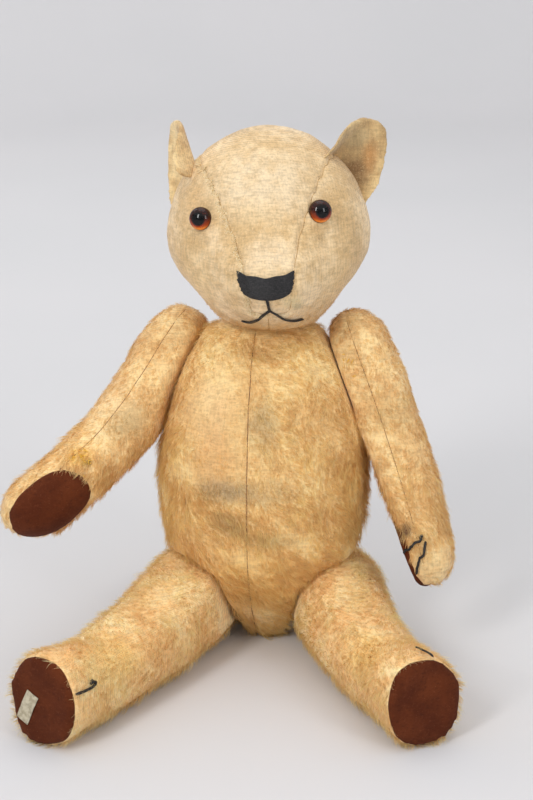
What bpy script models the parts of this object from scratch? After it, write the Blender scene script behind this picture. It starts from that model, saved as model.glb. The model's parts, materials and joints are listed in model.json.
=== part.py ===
"""A jointed mohair teddy bear, sitting with its legs forward and one arm lifted.

The bear faces -Y, its left side is +X and it sits on Z = 0. Each of the five disc joints has a flat face on
the body and a flat face on the head or limb. A hardboard disc and a steel washer lie behind each face, and a
cotter pin of folded wire holds them together. Cloth covers are shells with a stuffing inside. Every cover is
an outer surface less the same surface moved inwards by the thickness of the cloth.
"""

import math

import bmesh
import bpy
from mathutils import Matrix, Vector
from mathutils.bvhtree import BVHTree

# Clearances and cloth, in metres
CLOTH = 0.0022  # mohair on its woven backing
GAP = 0.0003  # between pieces that touch
TURN_GAP = 0.0006  # between the two flat faces of a joint
SEAM = 0.0004  # between two panels that are sewn together
MERGE = 0.000004  # corners closer than this are one corner
FLAT = 0.01  # radians between two faces that count as one flat face

# Body
LEAN = 5.0  # degrees that the body leans back
BODY_MIDDLE = (-0.003, 0.004, 0.137)
BODY_HALF_WIDTH = 0.0825
BODY_FRONT = 0.071
BODY_BACK = 0.068
BODY_TOP = 0.127  # above the middle, which is the widest level
BODY_BOTTOM = 0.118
PANEL_SPLIT = -0.006  # the centre seams lie a little to the right
NECK_CUT = 0.006  # from the top of the egg down to the flat face of the neck
SEAT_DROP = 0.036  # how far the bear's seat sags below the belly, behind

# Head, in its own frame: the origin is on the neck joint, and it faces -Y
HEAD_TURN = 8.0
HEAD_ROLL = -2.4
HEAD_NOD = 5.0
HEAD_MIDDLE = (0.002, -0.004, 0.071)
HEAD_HALF_WIDTH = 0.0745
HEAD_HALF_DEPTH = 0.070
HEAD_HALF_HEIGHT = 0.0785
CHIN_TAPER = 0.12  # how much narrower the head is at the level of the chin
MUZZLE_LENGTH = 0.031
MUZZLE_RADIUS = 0.037
MUZZLE_DROP = 0.031
GUSSET_START = -28.0  # degrees below level, at the nose
GUSSET_STOP = 232.0  # past the top and down the back
GUSSET_WIDTHS = (  # share of the way from the nose to the nape, and the width there
    (0.0, 0.028),
    (0.12, 0.042),
    (0.22, 0.066),
    (0.42, 0.104),
    (1.0, 0.034),
)

# Face and ears
EYE_RADIUS = 0.009
EYE_HEIGHT = {"left": 0.0245, "right": 0.0205}  # above the middle of the head
EYE_SPREAD = {"left": 0.0385, "right": 0.0455}
NOSE_WIDTH = 0.037
NOSE_HEIGHT = 0.022
THREAD_RADIUS = 0.0009
EAR_RADIUS = 0.0295
EAR_RISE = 1.62  # the ear's height over its radius, from the middle of its hidden edge
EAR_SPREAD = {"left": 0.0625, "right": 0.058}
EAR_HEIGHT = 0.049
EAR_BACK = 0.006
EAR_TURN = {"left": 16.0, "right": -64.0}
EAR_SLANT = {"left": 35.0, "right": 33.0}
EAR_CUP = 0.012

# Arms: the flat face of each shoulder, the swing of the arm at rest and its shape
SHOULDER_HEIGHT = 0.092  # above the middle of the body
SHOULDER_SPREAD = {"left": 0.0565, "right": 0.0540}
ARM_LENGTH = 0.190  # from the joint to the tip of the paw
ARM_TOP = 0.033
ARM_CAPS = (0.040, 0.027)  # lengths of the rounded top and of the rounded tip
ARM_HALF_WIDTH = 0.0270
ARM_HALF_THICKNESS = 0.0270
ARM_SUNK = 0.0085  # how much of the round arm the flat face of the shoulder cuts off
ARMS = {
    "left": {"up": 22.0, "back": 3.0, "swing": 12.0, "bend": -3.0, "palm": 10.0, "hook": 4.0},
    "right": {"up": 15.0, "back": 16.0, "swing": 41.0, "bend": 13.0, "palm": 42.0, "hook": 6.0},
}
PAW_PAD_LENGTH = 0.066
OVAL_SIDES = 22
PAW_PAD_WIDTH = 0.044
PAW_PAD_PLACE = 0.158

# Legs: the flat face of each hip and the shape of the leg
HIP_MIDDLE = (0.0225, -0.010, 0.0370)
HIP_AHEAD = {"left": 0.008, "right": -0.008}  # the hips are twisted a little to the left
HIP_DOWN = 10.0  # degrees that the outward side of the hip joint faces down
HIP_SPLAY = {"left": 9.0, "right": 9.0}
LEG_BEND = {"left": 15.0, "right": 11.5}  # degrees that the leg turns outwards from the plane of its joint
LEG_LENGTH = {"left": 0.190, "right": 0.208}  # from the joint to the sole
LEG_TOP = 0.040
THIGH_HALF_HEIGHT = 0.0365
THIGH_HALF_WIDTH = 0.0375
THIGH_SUNK = 0.006  # how much of the round thigh the flat face of the hip cuts off
ANKLE_HALF_HEIGHT = 0.0275
ANKLE_HALF_WIDTH = 0.0305
SOLE_HALF_HEIGHT = 0.0335
SOLE_HALF_WIDTH = 0.0295
SOLE_TILT = 7.0
INSOLE = 0.0015
HIP_CLEAR_RADIUS = 0.0445
CLAW_LENGTH = 0.018
CLAW_BACK = 0.015  # from the sole to the middle of the claw's stitch
LABEL_SIZE = (0.024, 0.011, 0.0006)
LABEL_PLACE = (-0.011, -0.007, 0)  # from the middle of the sole
LABEL_TURN = -22.0

# Joint hardware, measured outwards along the axis from the body's flat face
DISC_RADIUS = {"neck": 0.024, "shoulder": 0.017, "hip": 0.021}
DISC = 0.003
WASHER = 0.0012
WASHER_RADIUS = 0.008
HOLE_RADIUS = 0.0026
CLOTH_HOLE_RADIUS = 0.0032
WIRE_RADIUS = 0.001
WIRE_OFFSET = 0.00115  # from the axis to the middle of each half of the pin
PIN_HALF = (  # one half of the pin as (distance from the axis, height), from its curled end to its head
    (0.0088, -0.0118),
    (0.0098, -0.0101),
    (0.0088, -0.0088),
    (0.0030, -0.0086),
    (WIRE_OFFSET, -0.0069),
    (WIRE_OFFSET, 0.0078),
    (0.0033, 0.0106),
    (0.0030, 0.0134),
)
PIN_TOP = 0.0146
POCKET_SIDES = 14
PIN_HEAD_ROOM = 0.0095  # radius of the room round the pin's head, in the limb
PIN_CURL_ROOM = 0.0122  # radius of the room round the pin's curled ends, in the body
LIMB_POCKET = 0.0170  # depth of the room in the limb
BODY_POCKET = 0.0140

SIDES = {"left": 1, "right": -1}
MATERIALS = {
    "body_mohair": ((0.72, 0.47, 0.21), 0.9, 0.0),
    "head_mohair": ((0.83, 0.69, 0.45), 0.9, 0.0),
    "felt": ((0.11, 0.035, 0.015), 0.95, 0.0),
    "thread": ((0.012, 0.011, 0.011), 0.6, 0.0),
    "glass": ((0.30, 0.06, 0.01), 0.05, 0.0),
    "stuffing": ((0.66, 0.54, 0.33), 0.95, 0.0),
    "card": ((0.30, 0.21, 0.12), 0.85, 0.0),
    "steel": ((0.42, 0.42, 0.43), 0.35, 1.0),
    "label": ((0.62, 0.58, 0.50), 0.9, 0.0),
}


# Meshes and Booleans


def clear_scene():
    for thing in list(bpy.data.objects):
        bpy.data.objects.remove(thing, do_unlink=True)


def material(name):
    found = bpy.data.materials.get(name)
    if found:
        return found
    colour, roughness, metallic = MATERIALS[name]
    made = bpy.data.materials.new(name)
    made.use_nodes = True
    shader = made.node_tree.nodes["Principled BSDF"]
    shader.inputs["Base Color"].default_value = (*colour, 1.0)
    shader.inputs["Roughness"].default_value = roughness
    shader.inputs["Metallic"].default_value = metallic
    made.diffuse_color = (*colour, 1.0)
    return made


def to_object(bm, name):
    """A new object that holds the bmesh, which is freed."""
    bmesh.ops.recalc_face_normals(bm, faces=bm.faces)
    bmesh.ops.triangulate(bm, faces=bm.faces)
    mesh = bpy.data.meshes.new(name)
    bm.to_mesh(mesh)
    bm.free()
    thing = bpy.data.objects.new(name, mesh)
    bpy.context.scene.collection.objects.link(thing)
    return thing


def tidied(mesh):
    """Join the flat faces that a cut has split and drop the slivers, as far as the mesh stays closed."""
    for merge, flat in ((MERGE, FLAT), (MERGE, FLAT / 20), (MERGE, 0), (MERGE / 4, 0), (0, 0)):
        bm = bmesh.new()
        bm.from_mesh(mesh)
        if merge:
            bmesh.ops.remove_doubles(bm, verts=bm.verts, dist=merge)
            bmesh.ops.dissolve_degenerate(bm, dist=merge, edges=bm.edges)
        if flat:
            bmesh.ops.dissolve_limit(bm, angle_limit=flat, verts=bm.verts, edges=bm.edges)
        bmesh.ops.triangulate(bm, faces=bm.faces)
        closed = all(edge.is_manifold for edge in bm.edges)
        if closed or not merge:
            bm.to_mesh(mesh)
        bm.free()
        if closed:
            break
    return mesh


def copy_of(thing):
    twin = thing.copy()
    twin.data = thing.data.copy()
    bpy.context.scene.collection.objects.link(twin)
    return twin


def cut(thing, cutter, operation="DIFFERENCE", keep_cutter=False):
    """Boolean the cutter into the object and store the result in the object's mesh."""
    modifier = thing.modifiers.new("cut", "BOOLEAN")
    modifier.operation = operation
    modifier.solver = "EXACT"
    modifier.object = cutter
    depsgraph = bpy.context.evaluated_depsgraph_get()
    result = bpy.data.meshes.new_from_object(thing.evaluated_get(depsgraph))
    thing.modifiers.remove(modifier)
    old = thing.data
    thing.data = tidied(result)
    bpy.data.meshes.remove(old)
    if not keep_cutter:
        bpy.data.objects.remove(cutter, do_unlink=True)
    return thing


def finish(thing, name, slot, parent):
    """Name the object, give it its material and hang it on the empty of its joint."""
    thing.name = name
    thing.data.name = name
    thing.data.materials.clear()
    thing.data.materials.append(material(slot))
    thing.data.shade_smooth()
    thing.data.set_sharp_from_angle(angle=math.radians(40))
    thing.parent = parent
    thing.matrix_parent_inverse = parent.matrix_world.inverted()
    return thing


def clip(bm, point, normal):
    """Take away what lies beyond the plane and close the cut with a flat face."""
    bmesh.ops.bisect_plane(
        bm,
        geom=[*bm.verts, *bm.edges, *bm.faces],
        dist=0.00002,
        plane_co=point,
        plane_no=normal,
        clear_outer=True,
    )
    rim = [edge for edge in bm.edges if edge.is_boundary]
    if rim:
        bmesh.ops.holes_fill(bm, edges=rim, sides=0)


def skin_grid(rows):
    """A closed bmesh over rings of points. The first and last rings have one point each, as poles."""
    bm = bmesh.new()
    rings = [[bm.verts.new(point) for point in row] for row in rows]
    for first, second in zip(rings, rings[1:]):
        count = max(len(first), len(second))
        for step in range(count):
            corners = [
                first[step % len(first)],
                first[(step + 1) % len(first)],
                second[(step + 1) % len(second)],
                second[step % len(second)],
            ]
            bm.faces.new(list(dict.fromkeys(corners)))
    bmesh.ops.recalc_face_normals(bm, faces=bm.faces)
    return bm


def join_rings(bm, rings):
    """Skin rings of corners with triangles whose diagonals all run the same way, and close both ends."""
    for first, second in zip(rings, rings[1:]):
        for k in range(len(first)):
            after = (k + 1) % len(first)
            bm.faces.new((first[k], first[after], second[after]))
            bm.faces.new((first[k], second[after], second[k]))
    bm.faces.new(rings[0])
    bm.faces.new(rings[-1])


def moved_inwards(bm, distance):
    """Move each vertex against its normal."""
    bm.normal_update()
    places = [vert.co - vert.normal * distance for vert in bm.verts]
    for vert, place in zip(bm.verts, places):
        vert.co = place
    return bm


def turned(name, profile, frame, sides=12):
    """A solid of revolution. The profile lists (radius, height) along the frame's Z axis."""
    rows = []
    for radius, height in profile:
        if radius == 0:
            rows.append([frame @ Vector((0, 0, height))])
            continue
        ring = [math.tau * step / sides for step in range(sides)]
        rows.append([frame @ Vector((radius * math.cos(a), radius * math.sin(a), height)) for a in ring])
    return to_object(skin_grid(rows), name)


def ring_plate(name, outer, inner, low, high, frame, sides):
    """A flat round plate with a hole through its middle."""
    bm = bmesh.new()
    rings = []
    for radius, height in ((inner, low), (outer, low), (outer, high), (inner, high)):
        ring = []
        for step in range(sides):
            angle = math.tau * step / sides
            place = Vector((radius * math.cos(angle), radius * math.sin(angle), height))
            ring.append(bm.verts.new(frame @ place))
        rings.append(ring)
    for index, ring in enumerate(rings):
        other = rings[(index + 1) % 4]
        for step in range(sides):
            after = (step + 1) % sides
            bm.faces.new((ring[step], ring[after], other[after], other[step]))
    return to_object(bm, name)


def wire(name, points, radius, resolution=1):
    """A round wire along the points with closed ends."""
    curve = bpy.data.curves.new(name, "CURVE")
    curve.dimensions = "3D"
    curve.bevel_depth = radius
    curve.bevel_resolution = resolution
    curve.use_fill_caps = True
    spline = curve.splines.new("POLY")
    spline.points.add(len(points) - 1)
    for point, place in zip(spline.points, points):
        point.co = (*place, 1.0)
    guide = bpy.data.objects.new(name, curve)
    bpy.context.scene.collection.objects.link(guide)
    depsgraph = bpy.context.evaluated_depsgraph_get()
    mesh = bpy.data.meshes.new_from_object(guide.evaluated_get(depsgraph))
    bpy.data.objects.remove(guide, do_unlink=True)
    bm = bmesh.new()
    bm.from_mesh(mesh)
    bpy.data.meshes.remove(mesh)
    bmesh.ops.remove_doubles(bm, verts=bm.verts, dist=0.00001)
    return to_object(bm, name)


def box_between(low, high, frame=None):
    """A rectangular block, in the frame if one is given."""
    bm = bmesh.new()
    bmesh.ops.create_cube(bm, size=1.0)
    low, high = Vector(low), Vector(high)
    for vert in bm.verts:
        place = Vector([(low[k] + high[k]) / 2 + vert.co[k] * (high[k] - low[k]) for k in range(3)])
        vert.co = frame @ place if frame else place
    return to_object(bm, "block")


def smooth_path(points, steps):
    """Points along a Catmull-Rom curve through the given points."""
    ends = [points[0] * 2 - points[1], *points, points[-1] * 2 - points[-2]]
    found = []
    for a, b, c, d in zip(ends, ends[1:], ends[2:], ends[3:]):
        for step in range(steps):
            t = step / steps
            rise = (c - a) * t
            bend = (2 * a - 5 * b + 4 * c - d) * t**2
            twist = (3 * b - a - 3 * c + d) * t**3
            found.append(0.5 * (2 * b + rise + bend + twist))
    found.append(points[-1])
    return found


def oval(angle, half_width, half_height, power):
    """A point on a superellipse."""
    c, s = math.cos(angle), math.sin(angle)
    return (
        half_width * math.copysign(abs(c) ** (2 / power), c),
        half_height * math.copysign(abs(s) ** (2 / power), s),
    )


def mix(a, b, share):
    share = min(max(share, 0.0), 1.0)
    return a + (b - a) * share * share * (3 - 2 * share)


# Joint frames: the origin is on the body's flat face, and Z is the axis, pointing out of the body


def frame_along(point, axis, front):
    z = axis.normalized()
    y = (front - z * front.dot(z)).normalized()
    x = y.cross(z)
    frame = Matrix((x, y, z)).transposed().to_4x4()
    frame.translation = point
    return frame


BODY = Matrix.Translation(BODY_MIDDLE) @ Matrix.Rotation(math.radians(-LEAN), 4, "X")
BODY_TURN = BODY.to_3x3()


def outward(side, down, splay):
    """A direction to the side that faces down and backwards by these angles."""
    down, splay = math.radians(down), math.radians(splay)
    return Vector(
        (SIDES[side] * math.cos(down) * math.cos(splay), math.cos(down) * math.sin(splay), -math.sin(down))
    )


def joint_frames():
    front = Vector((0, -1, 0))
    neck = BODY @ Vector((-BODY_MIDDLE[0], 0, BODY_TOP - NECK_CUT))
    frames = {"neck": frame_along(neck, BODY_TURN @ Vector((0, 0, 1)), front)}
    for side, sign in SIDES.items():
        arm = ARMS[side]
        shoulder = BODY @ Vector((sign * SHOULDER_SPREAD[side], 0.0, SHOULDER_HEIGHT))
        frames["shoulder_" + side] = frame_along(
            shoulder, BODY_TURN @ outward(side, -arm["up"], arm["back"]), front
        )
        hip = Vector((sign * HIP_MIDDLE[0], HIP_MIDDLE[1] + HIP_AHEAD[side], HIP_MIDDLE[2]))
        frames["hip_" + side] = frame_along(hip, outward(side, HIP_DOWN, HIP_SPLAY[side]), front)
    return frames


JOINTS = joint_frames()


def axis_of(joint):
    return JOINTS[joint].to_3x3() @ Vector((0, 0, 1))


# Outer shapes. Each returns a closed bmesh whose surface is moved in by inset


def body_shape(inset):
    """An egg with full shoulders and a seat that sags behind."""
    rows = []
    around, along = 20, 12
    for level in range(along + 1):
        slope = math.pi * level / along
        height = math.cos(slope)
        power = 2.35 if height > 0 else 2.1
        radius = (max(0.0, 1 - abs(height) ** power)) ** (1 / power)
        row = []
        for step in range(around if 0 < level < along else 1):
            turn = math.tau * step / around
            depth = BODY_FRONT if math.sin(turn) < 0 else BODY_BACK
            x = BODY_HALF_WIDTH * radius * math.cos(turn)
            y = depth * radius * math.sin(turn)
            z = (BODY_TOP if height > 0 else BODY_BOTTOM) * height
            sag = SEAT_DROP * mix(0, 1, (y + 0.045) / 0.085) * mix(0, 1, -height / 0.9)
            row.append(BODY @ Vector((x, y, z - sag)))
        rows.append(row)
    return moved_inwards(skin_grid(rows), inset)


HEAD = (
    Matrix.Translation(JOINTS["neck"] @ Vector((0, 0, TURN_GAP)))
    @ Matrix.Rotation(math.radians(-LEAN), 4, "X")
    @ Matrix.Rotation(math.radians(HEAD_TURN), 4, "Z")
    @ Matrix.Rotation(math.radians(HEAD_NOD), 4, "X")
    @ Matrix.Rotation(math.radians(HEAD_ROLL), 4, "Y")
)


def head_surface(direction):
    """A point of the head in its own frame, from a direction out of its middle."""
    x = HEAD_HALF_WIDTH * direction.x
    y = HEAD_HALF_DEPTH * direction.y
    z = HEAD_HALF_HEIGHT * direction.z
    cheeks = 0.04 * math.exp(-(((z + 0.015) / 0.03) ** 2))
    chin = CHIN_TAPER * math.exp(-(((z + 0.048) / 0.021) ** 2))
    x *= 1 + cheeks - chin
    if y < 0:
        across = math.hypot(x / 1.08, (z + MUZZLE_DROP) / 0.92)
        y -= MUZZLE_LENGTH * math.exp(-((across / MUZZLE_RADIUS) ** 2.5)) * mix(0, 1, -y / 0.03)
    return Vector((x, y, z)) + Vector(HEAD_MIDDLE)


def head_shape(inset):
    """A rounded skull with a blunt muzzle. The poles are at the cheeks."""
    rows = []
    around, across = 24, 14
    for level in range(across + 1):
        slope = math.pi * level / across
        row = []
        for step in range(around if 0 < level < across else 1):
            turn = math.tau * (step + 0.5) / around
            direction = Vector(
                (math.cos(slope), math.sin(slope) * math.cos(turn), math.sin(slope) * math.sin(turn))
            )
            row.append(HEAD @ head_surface(direction))
        rows.append(row)
    return moved_inwards(skin_grid(rows), inset)


def limb_axes(joint, swing):
    """Outwards, forwards and along directions of a limb that is swung forwards from hanging down."""
    out = axis_of(joint)
    down = (Vector((0, 0, -1)) + out * out.z).normalized()
    ahead = down.cross(out)
    if ahead.y > 0:
        ahead = -ahead
    turn = math.radians(swing)
    along = down * math.cos(turn) + ahead * math.sin(turn)
    front = ahead * math.cos(turn) - down * math.sin(turn)
    return out, front, along


def distances(start, stop, start_cap, stop_cap, middle):
    """Places along a limb, closer together in its round ends."""
    steps = 3
    found = [start + start_cap * (1 - math.cos(math.pi / 2 * k / steps)) for k in range(steps + 1)]
    span = (stop - stop_cap) - (start + start_cap)
    found += [start + start_cap + span * k / middle for k in range(1, middle)]
    if stop_cap:
        found += [stop - stop_cap * (1 - math.sin(math.pi / 2 * k / steps)) for k in range(steps + 1)]
    else:
        found.append(stop)
    return found


def rounding(distance, cap):
    if distance >= cap:
        return 1.0
    return math.sqrt(max(0.0, 1 - (1 - distance / cap) ** 2))


def arm_section(side, distance):
    """The middle, directions and half sizes of the arm's section at a distance from the joint."""
    arm = ARMS[side]
    out, front, along = limb_axes("shoulder_" + side, arm["swing"])
    share = max(0.0, distance) / ARM_LENGTH
    sideways = math.tan(math.radians(arm["bend"])) * share**2.2 * ARM_LENGTH
    ahead = math.tan(math.radians(arm["hook"])) * share**2.2 * ARM_LENGTH
    taper = 1 - 0.13 * mix(0, 1, share / 0.7) + 0.10 * mix(0, 1, (share - 0.62) / 0.3)
    wide = ARM_HALF_WIDTH * taper
    thick = ARM_HALF_THICKNESS * (1 - 0.12 * mix(0, 1, share))
    middle = (
        JOINTS["shoulder_" + side].translation
        + along * distance
        + out * (TURN_GAP + ARM_HALF_THICKNESS - ARM_SUNK + sideways)
        + front * ahead
    )
    leaning = math.atan(2.2 * math.tan(math.radians(arm["bend"])) * share**1.2)
    across = (out * math.cos(leaning) - along * math.sin(leaning)).normalized()
    return middle, across, front, thick, wide


def arm_shape(side, inset):
    rows = []
    places = distances(-ARM_TOP, ARM_LENGTH, *ARM_CAPS, 5)
    around = 14
    for place in places:
        middle, across, front, thick, wide = arm_section(side, place)
        size = min(rounding(place + ARM_TOP, ARM_CAPS[0]), rounding(ARM_LENGTH - place, ARM_CAPS[1]))
        if size < 0.02:
            rows.append([middle])
            continue
        row = []
        for step in range(around):
            a, b = oval(math.tau * step / around, thick * size, wide * size, 2.2)
            row.append(middle + across * a + front * b)
        rows.append(row)
    return moved_inwards(skin_grid(rows), inset)


def leg_axes(side):
    """The leg lies along the floor, so its swing is what makes its direction level."""
    out = axis_of("hip_" + side)
    along = out.cross(Vector((0, 0, 1))).normalized()
    if along.y > 0:
        along = -along
    front = along.cross(out).normalized()
    if front.z < 0:
        front = -front
    return out, front, along


def leg_section(side, distance):
    out, front, along = leg_axes(side)
    share = max(0.0, distance) / LEG_LENGTH[side]
    sideways = math.tan(math.radians(LEG_BEND[side])) * mix(0, 1, share / 1.6) * 2 * LEG_LENGTH[side] * 0.8
    knee = mix(0, 1, share / 0.78)
    foot = mix(0, 1, (share - 0.70) / 0.3)
    tall = THIGH_HALF_HEIGHT + (ANKLE_HALF_HEIGHT - THIGH_HALF_HEIGHT) * knee
    wide = THIGH_HALF_WIDTH + (ANKLE_HALF_WIDTH - THIGH_HALF_WIDTH) * knee
    tall += (SOLE_HALF_HEIGHT - ANKLE_HALF_HEIGHT) * foot
    wide += (SOLE_HALF_WIDTH - ANKLE_HALF_WIDTH) * foot
    middle = JOINTS["hip_" + side].translation + along * distance
    middle += out * (TURN_GAP + THIGH_HALF_WIDTH - THIGH_SUNK + sideways)
    middle.z = tall + 0.0006
    return middle, out, front, wide, tall


def leg_shape(side, inset):
    rows = []
    places = distances(-LEG_TOP, LEG_LENGTH[side] + 0.012, 0.044, 0.0, 6)
    around = 16
    for place in places:
        middle, across, front, wide, tall = leg_section(side, place)
        size = rounding(place + LEG_TOP, 0.044)
        if size < 0.02:
            rows.append([middle])
            continue
        row = []
        for step in range(around):
            a, b = oval(math.tau * step / around, wide * size, tall * size, 2.25)
            row.append(middle + across * a + front * b)
        rows.append(row)
    end = sum(rows[-1], Vector()) / len(rows[-1])
    rows.append([end])
    return moved_inwards(skin_grid(rows), inset)


def sole_plane(side):
    """The middle and the outward normal of the foot pad's face."""
    middle = leg_section(side, LEG_LENGTH[side])[0]
    before = leg_section(side, LEG_LENGTH[side] - 0.03)[0]
    ahead = middle - before
    ahead.z = 0
    ahead.normalize()
    tilt = math.radians(SOLE_TILT)
    return middle, ahead * math.cos(tilt) + Vector((0, 0, math.sin(tilt)))


def solid(shape, inset, planes, name):
    """The shape with its surface and its flat faces moved in by inset."""
    bm = shape(inset)
    for point, normal in planes:
        clip(bm, point - normal * inset, normal)
    return to_object(bm, name)


# Joint hardware


def face_plane(joint, limb):
    """The flat face of a joint as (point, normal out of the piece), on the body or on the limb."""
    axis = axis_of(joint)
    point = JOINTS[joint].translation
    return (point + axis * TURN_GAP, -axis) if limb else (point, axis)


def kind(joint):
    return joint.split("_")[0]


def pocket(joint, limb):
    """The room in the cloth and the stuffing for the disc, the washer and the pin."""
    radius = (DISC_RADIUS[kind(joint)] + GAP * 2) / math.cos(math.pi / POCKET_SIDES)
    if limb:
        sign, start, pin_radius, depth = 1, TURN_GAP + CLOTH + GAP / 3, PIN_HEAD_ROOM, LIMB_POCKET
    else:
        sign, start, pin_radius, depth = -1, CLOTH + GAP / 3, PIN_CURL_ROOM, BODY_POCKET
    behind = start + DISC + GAP * 2
    profile = [
        (0, -sign * CLOTH),
        (CLOTH_HOLE_RADIUS, -sign * CLOTH),
        (CLOTH_HOLE_RADIUS, sign * start),
        (radius, sign * start),
        (radius, sign * behind),
        (pin_radius, sign * behind),
        (pin_radius, sign * depth),
        (0, sign * depth),
    ]
    return turned("pocket", profile, JOINTS[joint], POCKET_SIDES)


def hardware(joint, bodies):
    """The two discs, the two washers and the cotter pin of one joint."""
    frame = JOINTS[joint]
    radius = DISC_RADIUS[kind(joint)]
    limb_name = {"neck": "head", "shoulder": "arm", "hip": "leg"}[kind(joint)]
    limb_body = bodies[limb_name + joint.removeprefix(kind(joint))]
    inner = -CLOTH - GAP
    outer = TURN_GAP + CLOTH + GAP
    under = inner - DISC - GAP
    over = outer + DISC + GAP
    plates = (
        ("body_disc", radius, inner - DISC, inner, "card", bodies["torso"]),
        ("body_washer", WASHER_RADIUS, under - WASHER, under, "steel", bodies["torso"]),
        ("limb_disc", radius, outer, outer + DISC, "card", limb_body),
        ("limb_washer", WASHER_RADIUS, over, over + WASHER, "steel", limb_body),
    )
    for label, size, low, high, slot, parent in plates:
        sides = 16 if slot == "card" else 10
        plate = ring_plate(label, size, HOLE_RADIUS, low, high, frame, sides)
        finish(plate, joint + "_" + label, slot, parent)
    path = [*PIN_HALF, (0.0, PIN_TOP), *((-a, b) for a, b in reversed(PIN_HALF))]
    points = [frame @ Vector((a, 0, b)) for a, b in path]
    finish(wire("pin", points, WIRE_RADIUS), joint + "_cotter_pin", "steel", bodies["torso"])


# Body


def build_body(bodies):
    """Two panels with a centre seam in front and behind, over one stuffing."""
    planes = [face_plane("neck", False), (Vector((0, 0, 0)), Vector((0, 0, -1)))]
    planes += [face_plane("shoulder_" + side, False) for side in SIDES]

    def carved(inset, name):
        egg = solid(body_shape, inset, planes, name)
        for side in SIDES:
            joint = "hip_" + side
            reach = HIP_CLEAR_RADIUS + inset
            profile = [(0, -inset), (reach, -inset), (reach, 0.12), (0, 0.12)]
            cut(egg, turned("room", profile, JOINTS[joint], 32))
            axis = axis_of(joint)
            thigh = leg_shape(side, -0.0012 - inset)
            clip(thigh, JOINTS[joint].translation - axis * inset, -axis)
            cut(egg, to_object(thigh, "thigh"))
        return egg

    stuffing = carved(CLOTH + GAP, "stuffing")
    cover = carved(0.0, "cover")
    cut(cover, carved(CLOTH, "inside"))
    for joint in JOINTS:
        room = pocket(joint, False)
        cut(stuffing, room, keep_cutter=True)
        cut(cover, room)
    finish(stuffing, "body_stuffing", "stuffing", bodies["torso"])
    for side, sign in SIDES.items():
        panel = copy_of(cover)
        edges = (PANEL_SPLIT + sign * SEAM / 2, PANEL_SPLIT + sign * 0.2)
        cut(panel, box_between((min(edges), -0.3, -0.1), (max(edges), 0.3, 0.5)), "INTERSECT")
        finish(panel, "body_panel_" + side, "body_mohair", bodies["torso"])
    bpy.data.objects.remove(cover, do_unlink=True)


# Head


def gusset_width(share):
    """The gusset's width, from the tip of the nose at 0 over the brow to the nape at 1."""
    for (start, width), (stop, next_width) in zip(GUSSET_WIDTHS, GUSSET_WIDTHS[1:]):
        if share <= stop:
            return width + (next_width - width) * (share - start) / (stop - start)
    return GUSSET_WIDTHS[-1][1]


def gusset_cutter(grow):
    """A bent wedge between the two gusset seams, from inside the head to outside it."""
    bm = bmesh.new()
    rings = []
    steps = 20
    for step in range(steps + 1):
        share = step / steps
        angle = math.radians(GUSSET_START + (GUSSET_STOP - GUSSET_START) * share)
        angle += math.copysign(grow / HEAD_HALF_HEIGHT, share - 0.5)
        half = gusset_width(share) / 2 + grow
        ring = []
        for x, reach in ((-half, 0.012), (half, 0.012), (half, 0.14), (-half, 0.14)):
            place = Vector((x, -reach * math.cos(angle), reach * math.sin(angle)))
            ring.append(bm.verts.new(HEAD @ (place + Vector(HEAD_MIDDLE))))
        rings.append(ring)
    join_rings(bm, rings)
    return to_object(bm, "gusset")


def surface_tree(thing):
    return BVHTree.FromObject(thing, bpy.context.evaluated_depsgraph_get())


def on_face(tree, x, z, lift):
    """The place on the front of the head at x and z in the head's frame, lifted off the cloth."""
    start = HEAD @ Vector((x, -0.3, z))
    ahead = HEAD.to_3x3() @ Vector((0, 1, 0))
    place, normal, _, _ = tree.ray_cast(start, ahead)
    return place + normal * lift, normal


def build_head(bodies):
    """Gusset, two side panels, stuffing, eyes, stitching and ears."""
    parent = bodies["head"]
    planes = [face_plane("neck", True)]
    outer = solid(head_shape, 0.0, planes, "outer")
    tree = surface_tree(outer)
    stuffing = solid(head_shape, CLOTH + GAP, planes, "stuffing")
    inside = solid(head_shape, CLOTH, planes, "inside")
    grown = solid(head_shape, -GAP, [], "grown")
    cut(outer, inside)
    room = pocket("neck", True)
    cut(stuffing, room, keep_cutter=True)
    cut(outer, room)
    for side in SIDES:
        shank = build_eye(side, tree, parent)
        cut(outer, shank, keep_cutter=True)
        cut(stuffing, shank)
    finish(stuffing, "head_stuffing", "stuffing", parent)
    gusset = copy_of(outer)
    cut(gusset, gusset_cutter(-SEAM / 2), "INTERSECT")
    finish(gusset, "head_gusset", "head_mohair", parent)
    cut(outer, gusset_cutter(SEAM / 2))
    for side, sign in SIDES.items():
        panel = copy_of(outer)
        edges = (sign * SEAM / 2, sign * 0.2)
        low, high = (min(edges), -0.3, -0.3), (max(edges), 0.3, 0.5)
        cut(panel, box_between(low, high, HEAD), "INTERSECT")
        finish(panel, "head_side_" + side, "head_mohair", parent)
        build_ear(side, grown, parent)
    bpy.data.objects.remove(outer, do_unlink=True)
    build_nose(tree, grown, parent)


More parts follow.
